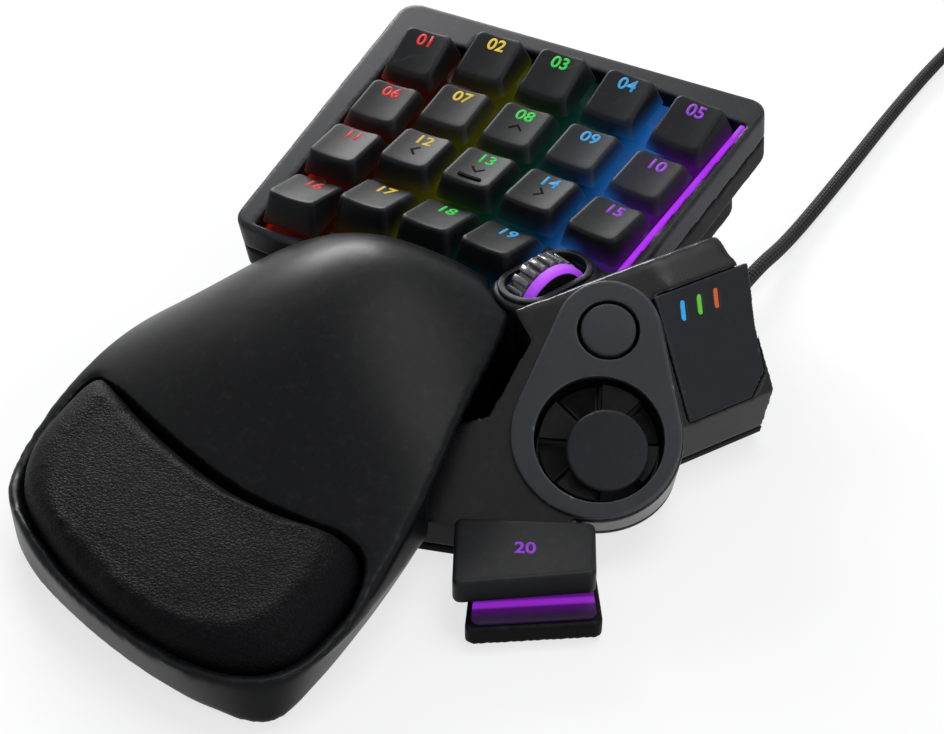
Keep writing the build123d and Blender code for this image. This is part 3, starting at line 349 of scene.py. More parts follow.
# Height over the sloping floor of the well, as a share of how far the light reaches up
level = add_node(well_colours, "ShaderNodeVectorMath", source, deck_normal, operation="DOT_PRODUCT")
above = math_node("SUBTRACT", (level, "Value"), deck_middle.dot(deck_normal) + floor_height)
reached = math_node("DIVIDE", above, (enter, "Glow Reach"))
spill = share_node(reached, 1.0, 0.0)
feed(leave, Spill=math_node("POWER", spill, 1.8))

well_glow, shader, source = start_material("lit well floor")
glowing = place_group(well_colours, source)
grained = place_group(moulded_grain, source, Mottle_Scale=90.0)
patches = share_node((grained, "Mottle"), 0.0, 0.4)
feed(shader, Emission_Color=mix_colours(patches, (glowing, "Colour"), (0, 0, 0, 1)),
     Emission_Strength=0.62, Base_Color=plain(9, 9, 11), Specular_IOR_Level=0.1,
     Roughness=share_node((grained, "Mottle"), 0.4, 0.5))

# Keycap plastic has the light of the well painted on its skirts, as a glow
key_plastic = moulded(
    "keycap plastic", (15, 16, 18), (19, 20, 22), (64, 66, 70), 0.42, grain=3400.0, depth=0.2,
    specular=0.09, wear_and_highlight=0.35)
shader, source = opened(key_plastic)
glowing = place_group(well_colours, source, Glow_Reach=0.0048)
feed(shader, Emission_Color=mix_colours((glowing, "Spill"), (0, 0, 0, 1), (glowing, "Colour")),
     Emission_Strength=0.35)

legend_lights = [lit(f"{name} legend", colour, strength) for name, colour, strength in (
    ("red", (1.0, 0.03, 0.02), 0.8), ("yellow", (1.0, 0.72, 0.04), 0.75),
    ("green", (0.03, 0.85, 0.08), 0.75), ("cyan", (0.04, 0.48, 1.0), 0.75),
    ("purple", (0.42, 0.06, 0.95), 0.72))]
indicator_lights = {name: lit(f"{name} indicator", colour, strength) for name, colour, strength in (
    ("blue", (0.03, 0.42, 0.85), 1.0), ("green", (0.12, 0.62, 0.04), 1.0),
    ("orange", (0.75, 0.14, 0.03), 0.9))}
strip_light = lit("purple strip", (0.42, 0.02, 0.88), 1.15)

# The wheel's ring glows brightest at its crown; its dimming towards the foot is painted shade
wheel_light = lit("purple wheel ring", (0.42, 0.05, 1.0), 1.0)
shader, source = opened(wheel_light)
crown = spread_node((split_node(source), "Z"), 0.034, 0.0408)
feed(shader, Emission_Color=mix_colours(crown, (0.10, 0.0, 0.35, 1), (0.55, 0.10, 1.0, 1)))

# The base light is a bright line under the front edge of the thumb key
base_light = lit("purple base light", (0.16, 0.006, 0.30), 1.0)
shader, source = opened(base_light)
reach = add_node(shader, "ShaderNodeVectorMath", source, (0.578, -0.816, 0), operation="DOT_PRODUCT")
feed(shader, Emission_Color=ramp_node(spread_node((reach, "Value"), 0.058, 0.072), (
    (0.0, (0.05, 0.0, 0.10)), (0.40, (0.10, 0.004, 0.20)), (0.45, (0.26, 0.02, 0.50)),
    (0.53, (0.26, 0.02, 0.50)), (0.58, (0.06, 0.002, 0.12)), (0.75, (0.015, 0.0, 0.03)),
    (1.0, (0.004, 0.0, 0.008)))))


# Pieces from CAD shapes: a merged copy with rounded edges
def link_mesh(name, mesh, material):
    mesh.materials.clear()
    mesh.materials.append(material)
    made = bpy.data.objects.new(name, mesh)
    bpy.context.scene.collection.objects.link(made)
    return made


def mesh_of(work, name):
    """The mesh of a shape that is finished."""
    mesh = bpy.data.meshes.new(name)
    work.to_mesh(mesh)
    work.free()
    return mesh


def bridge(work, low, high):
    """Faces between two rings with the same number of points."""
    count = len(low)
    return [work.faces.new((low[place], low[(place + 1) % count], high[(place + 1) % count], high[place]))
            for place in range(count)]


def merged(mesh, distance=0.000004):
    """The shape of a mesh, with the corners that its faces share made one."""
    work = bmesh.new()
    work.from_mesh(mesh)
    bmesh.ops.remove_doubles(work, verts=work.verts, dist=distance)
    return work


def merged_copy(node, flat_angle=0.08):
    mesh = frame["nodes"][node].data.copy()
    work = merged(mesh)
    if flat_angle:
        bmesh.ops.dissolve_limit(work, angle_limit=math.radians(flat_angle), verts=work.verts,
                                 edges=work.edges)
    work.to_mesh(mesh)
    work.free()
    mesh.shade_smooth()
    return mesh


def rounded(piece, width, segments=3, angle=28):
    bevel = piece.modifiers.new("rounded edges", "BEVEL")
    bevel.width = width * MM
    bevel.segments = segments
    bevel.limit_method = "ANGLE"
    bevel.angle_limit = math.radians(angle)
    bevel.use_clamp_overlap = False
    bevel.harden_normals = True
    bevel.miter_outer = "MITER_ARC"
    return piece


def smoothed(piece, name, passes):
    ease = piece.modifiers.new(name, "SMOOTH")
    ease.factor = 0.5
    ease.iterations = passes
    return ease


def made_plain(piece, soft=False):
    """Turns a piece with modifiers into a plain mesh."""
    shaped = piece.evaluated_get(bpy.context.evaluated_depsgraph_get())
    mesh = bpy.data.meshes.new_from_object(shaped)
    bpy.data.objects.remove(piece)
    if soft:
        mesh.shade_smooth()
    return mesh


def carried(piece, node):
    """Lets a piece move with the body of a node."""
    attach(piece, body_of[node])


def stand_in(piece, *nodes):
    carried(piece, nodes[0])
    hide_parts(*nodes)
    return piece


def dressed(node, material, width):
    name = f"{node}_moulded"
    piece = rounded(link_mesh(name, merged_copy(node), material), width)
    stand_in(link_mesh(name, made_plain(piece), material), node)


for node, material, width in (
    ("bottom_plate", shell_plastic, 0.3), ("wheel_bezel", frame_plastic, 0.12),
    ("key_guide_plate", well_glow, 0.1), ("well_light_strip", strip_light, 0.25),
    ("thumb_pad_dish", dish_plastic_painted_shade, 0.2), ("thumb_pad_cap", pad_plastic, 0.15),
    ("thumb_pad_pivot", dish_plastic_painted_shade, 0.1), ("thumb_button", plate_plastic, 0.12),
    ("thumb_key_light_bar", base_light, 0.2),
    ("palm_slide_rails", rail_plastic, 0.4), ("wheel_carriage", rail_plastic, 0.15),
    ("wheel_hub", wheel_plastic, 0.3), ("wheel_light_ring", wheel_light, 0.3),
    ("wheel_axle", steel, 0.2), ("rubber_feet", foot_rubber, 0.4), ("palm_feet", foot_rubber, 0.4),
    ("cable_strain_relief", relief_rubber, 0.15), ("cable_tie", strap_rubber, 0.3),
    ("usb_plug_body", relief_rubber, 0.4), ("usb_plug_shell", steel, 0.12),
):
    dressed(node, material, width)
for colour, material in indicator_lights.items():
    dressed(f"indicator_light_{colour}", material, 0.1)
for node, material in (("dome_sheet", dome_silicone), ("key_circuit_board", board_lacquer),
                       ("main_board", board_lacquer), ("thumb_board", board_lacquer)):
    for place in frame["nodes"][node].material_slots:
        place.material = material


# Moulded shells get an even skin, which gives their edges a soft radius
def softened(mesh, name, material, voxel, passes):
    piece = link_mesh(name, mesh, material)
    grid = piece.modifiers.new("even skin", "REMESH")
    grid.mode = "VOXEL"
    grid.voxel_size = voxel * MM
    grid.use_smooth_shade = True
    smoothed(piece, "eased edges", passes)
    return link_mesh(name, made_plain(piece, soft=True), material)


def faced(place, across, normal):
    """A place whose X axis runs across and whose Z axis stands up."""
    return Matrix.Translation(place) @ Matrix((across, normal.cross(across), normal)).transposed().to_4x4()


def heading(degrees):
    return Vector((math.cos(math.radians(degrees)), math.sin(math.radians(degrees)), 0))


thumb_turn, pad_slope = 28, math.radians(33.7)
pad_across = heading(thumb_turn)
pad_front = Vector((pad_across.y, -pad_across.x, 0))
pad_normal = pad_front * math.sin(pad_slope) + Vector((0, 0, math.cos(pad_slope)))
pad_place = faced(mm(47.9, -6.8, 23), pad_across, pad_normal)
button_place = pad_place @ Matrix.Translation(mm(1.5, 25.1, 0))
wheel_across = heading(71.5)
wheel_axis = Vector((-wheel_across.y, wheel_across.x, 0))
wheel_middle, tyre_shift = mm(17.8, 22.5, 30.6), 1.5
wheel_travel_place = faced(mm(17.8, 22.5, 30.2), wheel_across, wheel_axis)

# Rooms for what moves: radius, lowest and highest point
button_room, pad_room, wheel_room = (6.75, -7.6, 4), (14.25, -13, 8), (11.3, -4.5, 4.5)
button_hole, hole_widening = 6.45, 0.5


def widen(mesh, place, radius, room):
    """Opens a round hole by a little room, and eases what lies round it."""
    rim, eased, depth = 1, 2.5, -4
    inside = place.inverted()
    for vertex in mesh.vertices:
        spot = inside @ vertex.co
        away = spot.xy.length / MM
        if radius - rim < away < radius + eased and spot.z > depth * MM:
            share = 1 - max(away - radius, 0) / eased
            spot.xy *= 1 + room * share / away
            vertex.co = place @ spot


def make_room(mesh, place, radius, low, high, reach=1.5):
    """Moves what stands in a round room out to its nearest wall."""
    inside = place.inverted()
    for vertex in mesh.vertices:
        spot = (inside @ vertex.co) / MM
        away = spot.xy.length
        if away >= radius or not low < spot.z < high:
            continue
        depths = (radius - away, spot.z - low, high - spot.z)
        nearest = min(depths)
        if nearest > reach:
            continue
        if nearest == depths[0]:
            spot.xy *= radius / away
        else:
            spot.z = low if nearest == depths[1] else high
        vertex.co = place @ (spot * MM)


def round_ridge(piece):
    """Smooths the edges along the ridge of the thumb housing more than the rest."""
    ridge_foot, foot_blend, ridge_end, end_blend = 37, 3, 27.5, 2
    mirrored_across = Vector((pad_across.x, -pad_across.y, 0))
    ridge = piece.vertex_groups.new(name="ridge")
    for vertex in piece.data.vertices:
        across = vertex.co.dot(mirrored_across) / MM
        share = min(max(vertex.co.z / MM - ridge_foot, 0) / foot_blend,
                    max(ridge_end - across, 0) / end_blend, 1)
        if share:
            ridge.add([vertex.index], share, "REPLACE")
    smoothed(piece, "rounded ridge", 90).vertex_group = "ridge"
    name, material = piece.name, piece.data.materials[0]
    return link_mesh(name, made_plain(piece, soft=True), material)


for node, material, voxel, passes in (
    ("deck_housing", shell_plastic, 0.75, 3), ("thumb_housing", ridge_plastic_painted_lighter, 0.44, 6),
    ("thumb_key_base", shell_plastic, 0.4, 4), ("key_frame", frame_plastic, 0.6, 2),
    ("thumb_side_cover", frame_plastic, 0.35, 3), ("thumb_faceplate", plate_plastic, 0.35, 3),
    ("thumb_key", cap_plastic, 0.4, 4),
):
    shell = softened(merged_copy(node, 0), f"{node}_moulded", material, voxel, passes)
    if node in ("thumb_faceplate", "thumb_housing"):
        widen(shell.data, button_place, button_hole, hole_widening)
        make_room(shell.data, button_place, *button_room)
        make_room(shell.data, pad_place, *pad_room)
    if node == "thumb_housing":
        shell = round_ridge(shell)
    if node in ("deck_housing", "key_frame"):
        make_room(shell.data, wheel_travel_place, *wheel_room)
    stand_in(shell, node)

# Every other petal of the thumb dish stands higher
petal_start, petal_length, petal_floor, petal_turn = 6.2, 7, -5.1, 90
petal_rise, petal_drop = 1.1, -0.7
for vertex in bpy.data.objects["thumb_pad_dish_moulded"].data.vertices:
    spot = pad_place.inverted() @ vertex.co
    if spot.xy.length > petal_start * MM and spot.z > petal_floor * MM:
        turn = math.degrees(math.atan2(spot.y, spot.x)) % petal_turn
        outwards = (spot.xy.length / MM - petal_start) / petal_length
        spot.z += (petal_rise * outwards if turn > petal_turn / 2 else petal_drop) * MM
        vertex.co = pad_place @ spot


# Keycaps and their legends
key_pitch = 19.05
column_across = (-1.937, -0.982, 0.0, 1.020, 2.068)
column_along = (-0.304, -0.010, 0.0, -0.037, -0.157)
column_turns = (1.4, 0.6, -0.6, -3.0, -5.0)
row_heights = (9.2, 7.36, 8.95, 9.5)
row_shifts = (0.0, 0.57, 0.99, 1.50)
row_tilts = (12.5, -0.5, -9.8, -23.3)
rows_in_column = (4, 4, 4, 4, 3)
deck = Matrix.Translation(deck_middle) @ Matrix.Rotation(deck_slope, 4, "X")


def key_base(column, row):
    """Place of a key on the lit floor."""
    return (deck
            @ Matrix.Translation(mm(column_across[column] * key_pitch, column_along[column] * key_pitch, 0))
            @ Matrix.Rotation(math.radians(column_turns[column]), 4, "Z")
            @ Matrix.Translation(mm(0, -key_pitch * row, 0)))


def key_top(column, row):
    """Place of a cap's top: its middle, and the way that it faces."""
    return (key_base(column, row) @ Matrix.Translation(mm(0, row_shifts[row], row_heights[row]))
            @ Matrix.Rotation(math.radians(row_tilts[row]), 4, "X"))


def link_curve(curve):
    made = bpy.data.objects.new(curve.name, curve)
    bpy.context.scene.collection.objects.link(made)
    return made


def lettering(words, size):
    curve = bpy.data.curves.new("lettering", "FONT")
    curve.body = words
    curve.size = size * MM
    curve.align_x = curve.align_y = "CENTER"
    curve.space_character = 1.02
    curve.offset = size * 0.022 * MM
    curve.resolution_u = 6
    return made_plain(link_curve(curve))


def way_on(path, place):
    """The way that a path takes through one of its points."""
    return (path[min(place + 1, len(path) - 1)] - path[max(place - 1, 0)]).normalized()


def stroke_mesh(points, width):
    """A flat line of even width through points, in millimetres."""
    sharpest = 0.3
    work = bmesh.new()
    rims = []
    points = [Vector(point) for point in points]
    for place, point in enumerate(points):
        ahead = way_on(points, place)
        side = Vector((-ahead.y, ahead.x))
        if 0 < place < len(points) - 1:
            run = (point - points[place - 1]).normalized()
            side = side / max(abs(side.dot(Vector((-run.y, run.x)))), sharpest)
        rims.append([work.verts.new(((point + side * width * share) * MM).to_3d()) for share in (-0.5, 0.5)])
    for first, second in zip(rims, rims[1:]):
        work.faces.new((first[0], second[0], second[1], first[1]))
    bmesh.ops.subdivide_edges(work, edges=work.edges, cuts=2, use_grid_fill=True)
    return mesh_of(work, "stroke")


def lay_on(mesh, surface, place, lift):
    """Drops a flat mesh along the normal of its place on to a surface."""
    drop = 6
    down = -(place.to_3x3() @ Vector((0, 0, 1))).normalized()
    for vertex in mesh.vertices:
        start = place @ (vertex.co + mm(0, 0, drop))
        hit = surface.ray_cast(start, down)[0]
        vertex.co = (hit if hit else start + down * drop * MM) - down * lift * MM


def raised_mark(name, mesh, material, node, thickness):
    piece = link_mesh(name, mesh, material)
    wall = piece.modifiers.new("thickness", "SOLIDIFY")
    wall.thickness = thickness * MM
    wall.offset = -1
    carried(link_mesh(name, made_plain(piece), material), node)


cap_top_width, cap_top_depth, cap_base_width, cap_base_depth = 13.3, 14.3, 16.2, 16.6
dish_depth, edge_round, skirt_height, foot_drop = 0.6, 1.0, 3.8, 0.15
cap_wall, cap_roof, plunger_width, plunger_bore, plunger_reach = 1.3, 1.8, 5.6, 4.0, 2.0
plunger_gap, bore_top = 0.6, 2.4
foot_corner, rim_corner, dish_corner, hollow_corner = 1.5, 2.0, 1.4, 0.8
corner_signs = ((1, 1), (-1, 1), (-1, -1), (1, -1))


def rounded_outline(width, depth, radius):
    """Points round a rectangle with round corners, the same number whatever its size."""
    steps = 6
    arcs = []
    for corner, (x, y) in enumerate(corner_signs):
        middle = Vector((x * (width / 2 - radius), y * (depth / 2 - radius)))
        arcs.append([middle + radius * heading(90 * corner + 90 / steps * step).xy
                     for step in range(steps + 1)])
    points = []
    for arc, after in zip(arcs, arcs[1:] + arcs[:1]):
        points += arc + [arc[-1].lerp(after[0], share / (steps + 1)) for share in range(1, steps + 1)]
    return points


def dish(x):
    return -dish_depth * max(1 - (2 * x / cap_top_width) ** 2, 0)


def keycap_mesh(column, row):
    """A keycap: skirt, rounded rim and dished top outside, and a hollow with its plunger inside."""
    base, top = key_base(column, row), key_top(column, row)

    def base_ring(smaller, corner):
        return [base @ mm(x, y, skirt_height)
                for x, y in rounded_outline(cap_base_width - smaller, cap_base_depth - smaller, corner)]

    def top_outline(smaller, corner):
        return rounded_outline(cap_top_width - smaller, cap_top_depth - smaller, corner)

    foot = base_ring(0, foot_corner)
    rim = [top @ mm(x, y, dish(x)) for x, y in top_outline(0, rim_corner)]
    inset = top_outline(2 * edge_round, dish_corner)
    flat = [top @ mm(x, y, dish(x)) for x, y in inset]
    hollow_foot = base_ring(2 * cap_wall, hollow_corner)
    hollow_roof = [top @ mm(x, y, -cap_roof) for x, y in top_outline(2 * cap_wall, hollow_corner)]
    rings = [hollow_roof, hollow_foot,
             [a.lerp(b, 0.25) + mm(0, 0, -foot_drop) for a, b in zip(foot, hollow_foot)], foot]
    for share in (0.03, 0.35, 0.65):
        rings.append([a.lerp(b, share) for a, b in zip(foot, rim)])
    for turn in (0, 0.2, 0.4, 0.6, 0.8, 1.0):
        ring = []
        for low, corner, inner in zip(foot, rim, flat):
            start = corner + (low - corner).normalized() * edge_round * MM
            ring.append(start * (1 - turn) ** 2 + corner * 2 * turn * (1 - turn) + inner * turn ** 2)
        rings.append(ring)
    for share in (0.82, 0.62, 0.42, 0.22):
        rings.append([top @ mm(x * share, y * share, dish(x * share)) for x, y in inset])
    work = bmesh.new()
    loops = [[work.verts.new(point) for point in ring] for ring in rings]
    for low, high in zip(loops, loops[1:]):
        bridge(work, low, high)
    for ring, middle in ((loops[0], top @ mm(0, 0, -cap_roof)), (loops[-1], top @ mm(0, 0, dish(0)))):
        center = work.verts.new(middle)
        for first, second in zip(ring, ring[1:] + ring[:1]):
            work.faces.new((first, second, center))
    stem = [[work.verts.new(base @ mm(x * width / 2, y * width / 2, height)) for x, y in corner_signs]
            for width, height in ((plunger_width, row_heights[row] - cap_roof - plunger_gap),
                                  (plunger_width, -plunger_reach), (plunger_bore, -plunger_reach),
                                  (plunger_bore, bore_top))]
    for low, high in zip(stem, stem[1:]):
        bridge(work, low, high)
    work.faces.new(stem[0])
    work.faces.new(stem[-1])
    bmesh.ops.recalc_face_normals(work, faces=work.faces)
    mesh = mesh_of(work, "keycap")
    mesh.shade_smooth()
    mesh.set_sharp_from_angle(angle=math.radians(50))
    return mesh


chevrons = {
    8: ((-1.8, -0.8), (0.0, 0.9), (1.8, -0.8)),
    12: ((0.8, 1.7), (-0.9, 0.0), (0.8, -1.7)),
    13: ((-1.8, 0.8), (0.0, -0.9), (1.8, 0.8)),
    14: ((-0.8, 1.7), (0.9, 0.0), (-0.8, -1.7)),
}
homing_key, homing_line = 13, ((-3.1, 0), (3.1, 0))
numeral_size, thumb_numeral_size, chevron_width, homing_width = 5.0, 4.6, 0.62, 0.8
mark_lift, mark_thickness = 0.03, 0.05
keys = [(column, row) for row in range(4) for column in range(5) if row < rows_in_column[column]]
for number, (column, row) in enumerate(keys, 1):
    node = f"keycap_{number:02d}"
    cap = stand_in(link_mesh(f"{node}_moulded", keycap_mesh(column, row), key_plastic), node)
    surface = BVHTree.FromObject(cap, bpy.context.evaluated_depsgraph_get())
    # Name, mesh, material, shift up the cap, lift off its top and thickness of each mark
    marks = [(f"legend_{number:02d}", lettering(f"{number:02d}", numeral_size), legend_lights[column],
              3.7, mark_lift, mark_thickness)]
    if number in chevrons:
        marks.append((f"chevron_{number:02d}", stroke_mesh(chevrons[number], chevron_width), engraved_black,
                      -0.9, mark_lift, mark_thickness))
    if number == homing_key:
        marks.append(("homing_bar", stroke_mesh(homing_line, homing_width), engraved_black, -4.5, 0.35, 0.45))
    for name, mark, material, shift, lift, thickness in marks:
        mark.transform(Matrix.Translation(mm(0, shift, 0)))
        lay_on(mark, surface, key_top(column, row), lift)
        raised_mark(name, mark, material, node, thickness)

thumb_top = Matrix.Translation(mm(47.0, -37.5, 14.5)) @ Matrix.Rotation(math.radians(thumb_turn), 4, "Z")
mark = lettering("20", thumb_numeral_size)
mark.transform(thumb_top @ Matrix.Translation(mm(0.0, 0.6, mark_lift)))
raised_mark("legend_20", mark, legend_lights[-1], "thumb_key", mark_thickness)


# Palm rest: the wall under its rim stands up straighter round the wrist.
# Each point of its rim has the share of the way from the middle at which its foot stands.
rest_outline = (
    (26.2, -42, 0.88), (27.8, -62, 0.89), (26.8, -84, 0.93), (21.5, -94.5, 1.0), (9, -100, 0.96),
    (-10, -99.4, 0.95), (-31, -94.5, 0.96), (-49, -86.5, 0.99), (-61, -76.5, 1.0), (-66.5, -62, 0.98),
    (-67.8, -40, 0.93),
)
rest_middle = Vector((-19, -40))
wall_top_thickness, wall_foot_thickness, wall_low, wall_high = 2.5, 9.0, 1.3, 13.6


def smooth_run(points, steps):
    """Points on a smooth line through all the given ones."""
    run = []
    padded = [points[0], *points, points[-1]]
    for before, start, end, after in zip(padded, padded[1:], padded[2:], padded[3:]):
        for step in range(steps):
            share = step / steps
            run.append(0.5 * (2 * start + (end - before) * share
                              + (2 * before - 5 * start + 4 * end - after) * share ** 2
                              + (3 * start - before - 3 * end + after) * share ** 3))
    return run + [points[-1]]


def walled(mesh):
    """Adds the wall to the mesh of the palm rest's shell."""
    work = bmesh.new()
    work.from_mesh(mesh)
    run = smooth_run([Vector(point) for point in rest_outline], 8)
    rims = [point.xy for point in run]
    sections = []
    for place, (point, rim) in enumerate(zip(run, rims)):
        ahead = way_on(rims, place)
        inwards = Vector((ahead.y, -ahead.x))
        if inwards.dot(rest_middle - rim) < 0:
            inwards = -inwards
        foot = rest_middle + (rim - rest_middle) * point.z
        corners = ((rim, wall_high), (foot, wall_low), (foot + inwards * wall_foot_thickness, wall_low),
                   (rim + inwards * wall_top_thickness, wall_high))
        sections.append([work.verts.new(mm(spot.x, spot.y, height)) for spot, height in corners])
    wall = []
    for first, second in zip(sections, sections[1:]):
        wall += bridge(work, first, second)
    wall += [work.faces.new(sections[0]), work.faces.new(sections[-1][::-1])]
    bmesh.ops.recalc_face_normals(work, faces=wall)
    return mesh_of(work, "walled")


stand_in(softened(walled(merged_copy("palm_rest_shell", 0)), "palm_rest_shell_moulded", rest_plastic,
                  0.85, 12), "palm_rest_shell")


# Wrist cushion: swollen by cloth simulation inside its pocket
def swollen(mesh, name, material, grow=4.0, sideways=0.5, upwards=1.4):
    """Swells a mesh, grown for the simulation. Its foot stays in place over a few millimetres."""
    shrinking, voxel, last_step, held_foot = 0.985, 1.5, 20, 6
    low = min(vertex.co.z for vertex in mesh.vertices)
    center = sum((vertex.co for vertex in mesh.vertices), Vector()) / len(mesh.vertices)
    shrink = (Matrix.Translation(center) @ Matrix.Diagonal((shrinking, shrinking, 1, 1))
              @ Matrix.Translation(-center))
    mesh.transform(Matrix.Scale(grow, 4) @ shrink)
    piece = softened(mesh, name, material, voxel * grow, 3)
    skin = piece.data
    starts = [vertex.co.copy() for vertex in skin.vertices]
    cloth = piece.modifiers.new("stuffing", "CLOTH")
    cloth.settings.use_pressure = True
    cloth.settings.uniform_pressure_force = 4
    cloth.settings.effector_weights.gravity = 0
    for step in range(1, last_step + 1):
        bpy.context.scene.frame_set(step)
    shaped = piece.evaluated_get(bpy.context.evaluated_depsgraph_get())
    ends = [vertex.co.copy() for vertex in shaped.data.vertices]
    piece.modifiers.remove(cloth)
    bpy.context.scene.frame_set(1)
    for vertex, start, end in zip(skin.vertices, starts, ends):
        move = (end - start) / grow
        flat = Vector((move.x, move.y))
        if flat.length > sideways * MM:
            flat *= sideways * MM / flat.length
        share = min(max((start.z / grow - low) / (held_foot * MM), 0), 1)
        rise = min(max(move.z, 0), upwards * MM)
        vertex.co = start + Vector((flat.x, flat.y, rise)) * grow * share
    skin.transform(Matrix.Scale(1 / grow, 4))
    finer = piece.modifiers.new("finer skin", "SUBSURF")
    finer.levels = finer.render_levels = 1
    return link_mesh(name, made_plain(piece, soft=True), material)


cushion = stand_in(swollen(merged_copy("wrist_cushion", 0), "wrist_cushion_padded", leatherette),
                   "wrist_cushion")


# Patterns grown by geometry nodes
def tree_with(name, inputs):
    tree = bpy.data.node_groups.new(name, "GeometryNodeTree")
    for socket, kind in inputs.items():
        tree.interface.new_socket(socket, in_out="INPUT", socket_type=f"NodeSocket{kind}")
    tree.interface.new_socket("Geometry", in_out="OUTPUT", socket_type="NodeSocketGeometry")
    return tree, tree.nodes.new("NodeGroupInput"), tree.nodes.new("NodeGroupOutput")


def grown(name, start, tree, values, width=0.0):
    """Runs a tree on a mesh with its named inputs, lengths in millimetres, and gives a plain mesh."""
    holder = link_mesh(name, start, values["Material"])
    nodes = holder.modifiers.new("pattern", "NODES")
    nodes.node_group = tree
    for item in tree.interface.items_tree:
        if item.in_out == "INPUT" and item.name in values:
            value = values[item.name]
            nodes[item.identifier] = value * MM if isinstance(value, float) else value
    if width:
        rounded(holder, width, 2, 40)
    return made_plain(holder)


def set_on(points, piece, **values):
    """A copy of a piece on each point, all made real."""
    copies = add_node(points[0], "GeometryNodeInstanceOnPoints", Points=points, Instance=piece, **values)
    return add_node(points[0], "GeometryNodeRealizeInstances", (copies, "Instances")), "Geometry"


def coat_all(enter, leave, source):
    coat = add_node(enter, "GeometryNodeSetMaterial", Geometry=source, Material=(enter, "Material"))
    feed(leave, (coat, "Geometry"))


# Scroll wheel: tread blocks round a band
tree, enter, leave = tree_with("tread ring", {
    "Radius": "Float", "Width": "Float", "Band Thickness": "Float", "Tread Count": "Int",
    "Tread Width": "Float", "Tread Height": "Float", "Material": "Material"})
tread_foot = math_node("SUBTRACT", (enter, "Radius"), (enter, "Tread Height"))
half_band = math_node("MULTIPLY", (enter, "Band Thickness"), 0.5)
circle = add_node(tree, "GeometryNodeCurvePrimitiveCircle", Resolution=96,
                  Radius=math_node("SUBTRACT", tread_foot, half_band))
section = add_node(tree, "GeometryNodeCurvePrimitiveQuadrilateral", Width=(enter, "Band Thickness"),
                   Height=(enter, "Width"))
band = add_node(tree, "GeometryNodeCurveToMesh", Curve=(circle, "Curve"), Profile_Curve=(section, "Curve"))
spots = add_node(tree, "GeometryNodeMeshCircle", Vertices=(enter, "Tread Count"), Radius=tread_foot)
block_size = add_node(tree, "ShaderNodeCombineXYZ", math_node("MULTIPLY", (enter, "Tread Height"), 2.0),
                      (enter, "Tread Width"), (enter, "Width"))
block = add_node(tree, "GeometryNodeMeshCube", Size=(block_size, "Vector"))
facing = tree.nodes.new("FunctionNodeAlignRotationToVector")
facing.axis, facing.pivot_axis = "X", "Z"
feed(facing, Vector=(tree.nodes.new("GeometryNodeInputPosition"), "Position"))
joined = add_node(tree, "GeometryNodeJoinGeometry", (band, "Mesh"))
feed(joined, set_on((spots, "Mesh"), (block, "Mesh"), Rotation=(facing, "Rotation")))
coat_all(enter, leave, (joined, "Geometry"))

tyre_mesh = grown("wheel_tyre_treaded", bpy.data.meshes.new("start"), tree, {
    "Radius": 10.3, "Width": 4.6, "Band Thickness": 0.7, "Tread Count": 22, "Tread Width": 1.6,
    "Tread Height": 1.1, "Material": tread_rubber}, 0.18)
tyre_mesh.transform(faced(wheel_middle + wheel_axis * tyre_shift * MM, wheel_across, wheel_axis))
tyre_mesh.shade_smooth()
stand_in(link_mesh("wheel_tyre_treaded", tyre_mesh, tread_rubber), "wheel_tyre")

# Screws with a crossed recess, one for each place
crossed_screws, enter, leave = tree_with("crossed screws", {
    "Places": "Geometry", "Head Radius": "Float", "Head Height": "Float", "Shank Radius": "Float",
    "Shank Length": "Float", "Recess Width": "Float", "Material": "Material"})
tree = crossed_screws
head = add_node(tree, "GeometryNodeMeshCylinder", Vertices=32, Radius=(enter, "Head Radius"),
                Depth=(enter, "Head Height"))
arm_length = math_node("MULTIPLY", (enter, "Head Radius"), 1.2)
recess_width = (enter, "Recess Width")
lowered = add_node(tree, "ShaderNodeCombineXYZ",
                   Z=math_node("MULTIPLY", (enter, "Head Height"), -0.6))
cut = add_node(tree, "GeometryNodeMeshBoolean", operation="DIFFERENCE")
feed(cut, Mesh_1=(head, "Mesh"))
for long_way in ((arm_length, recess_width), (recess_width, arm_length)):
    size = add_node(tree, "ShaderNodeCombineXYZ", *long_way, (enter, "Head Height"))
    arm = add_node(tree, "GeometryNodeMeshCube", Size=(size, "Vector"))
    moved = add_node(tree, "GeometryNodeTransform", Geometry=(arm, "Mesh"), Translation=(lowered, "Vector"))
    feed(cut, Mesh_2=(moved, "Geometry"))
shank = add_node(tree, "GeometryNodeMeshCylinder", Vertices=20, Radius=(enter, "Shank Radius"),
                 Depth=(enter, "Shank Length"))
both = math_node("ADD", (enter, "Shank Length"), (enter, "Head Height"))
raised = add_node(tree, "ShaderNodeCombineXYZ", Z=math_node("MULTIPLY", both, 0.49))
shank_up = add_node(tree, "GeometryNodeTransform", Geometry=(shank, "Mesh"), Translation=(raised, "Vector"))
screw = add_node(tree, "GeometryNodeJoinGeometry", (cut, "Mesh"))
feed(screw, (shank_up, "Geometry"))
coat_all(enter, leave, set_on((enter, "Places"), (screw, "Geometry")))


def island_boxes(mesh):
    """Lowest and highest corner of each separate part of a mesh."""
    work = merged(mesh)
    seen, boxes = set(), []
    for start in work.verts:
        if start in seen:
            continue
        queue, found = [start], []
        seen.add(start)
        while queue:
            vertex = queue.pop()
            found.append(vertex.co.copy())
            for line in vertex.link_edges:
                other = line.other_vert(vertex)
                if other not in seen:
                    seen.add(other)
                    queue.append(other)
        boxes.append((Vector(map(min, zip(*found))), Vector(map(max, zip(*found)))))
    work.free()
    return boxes


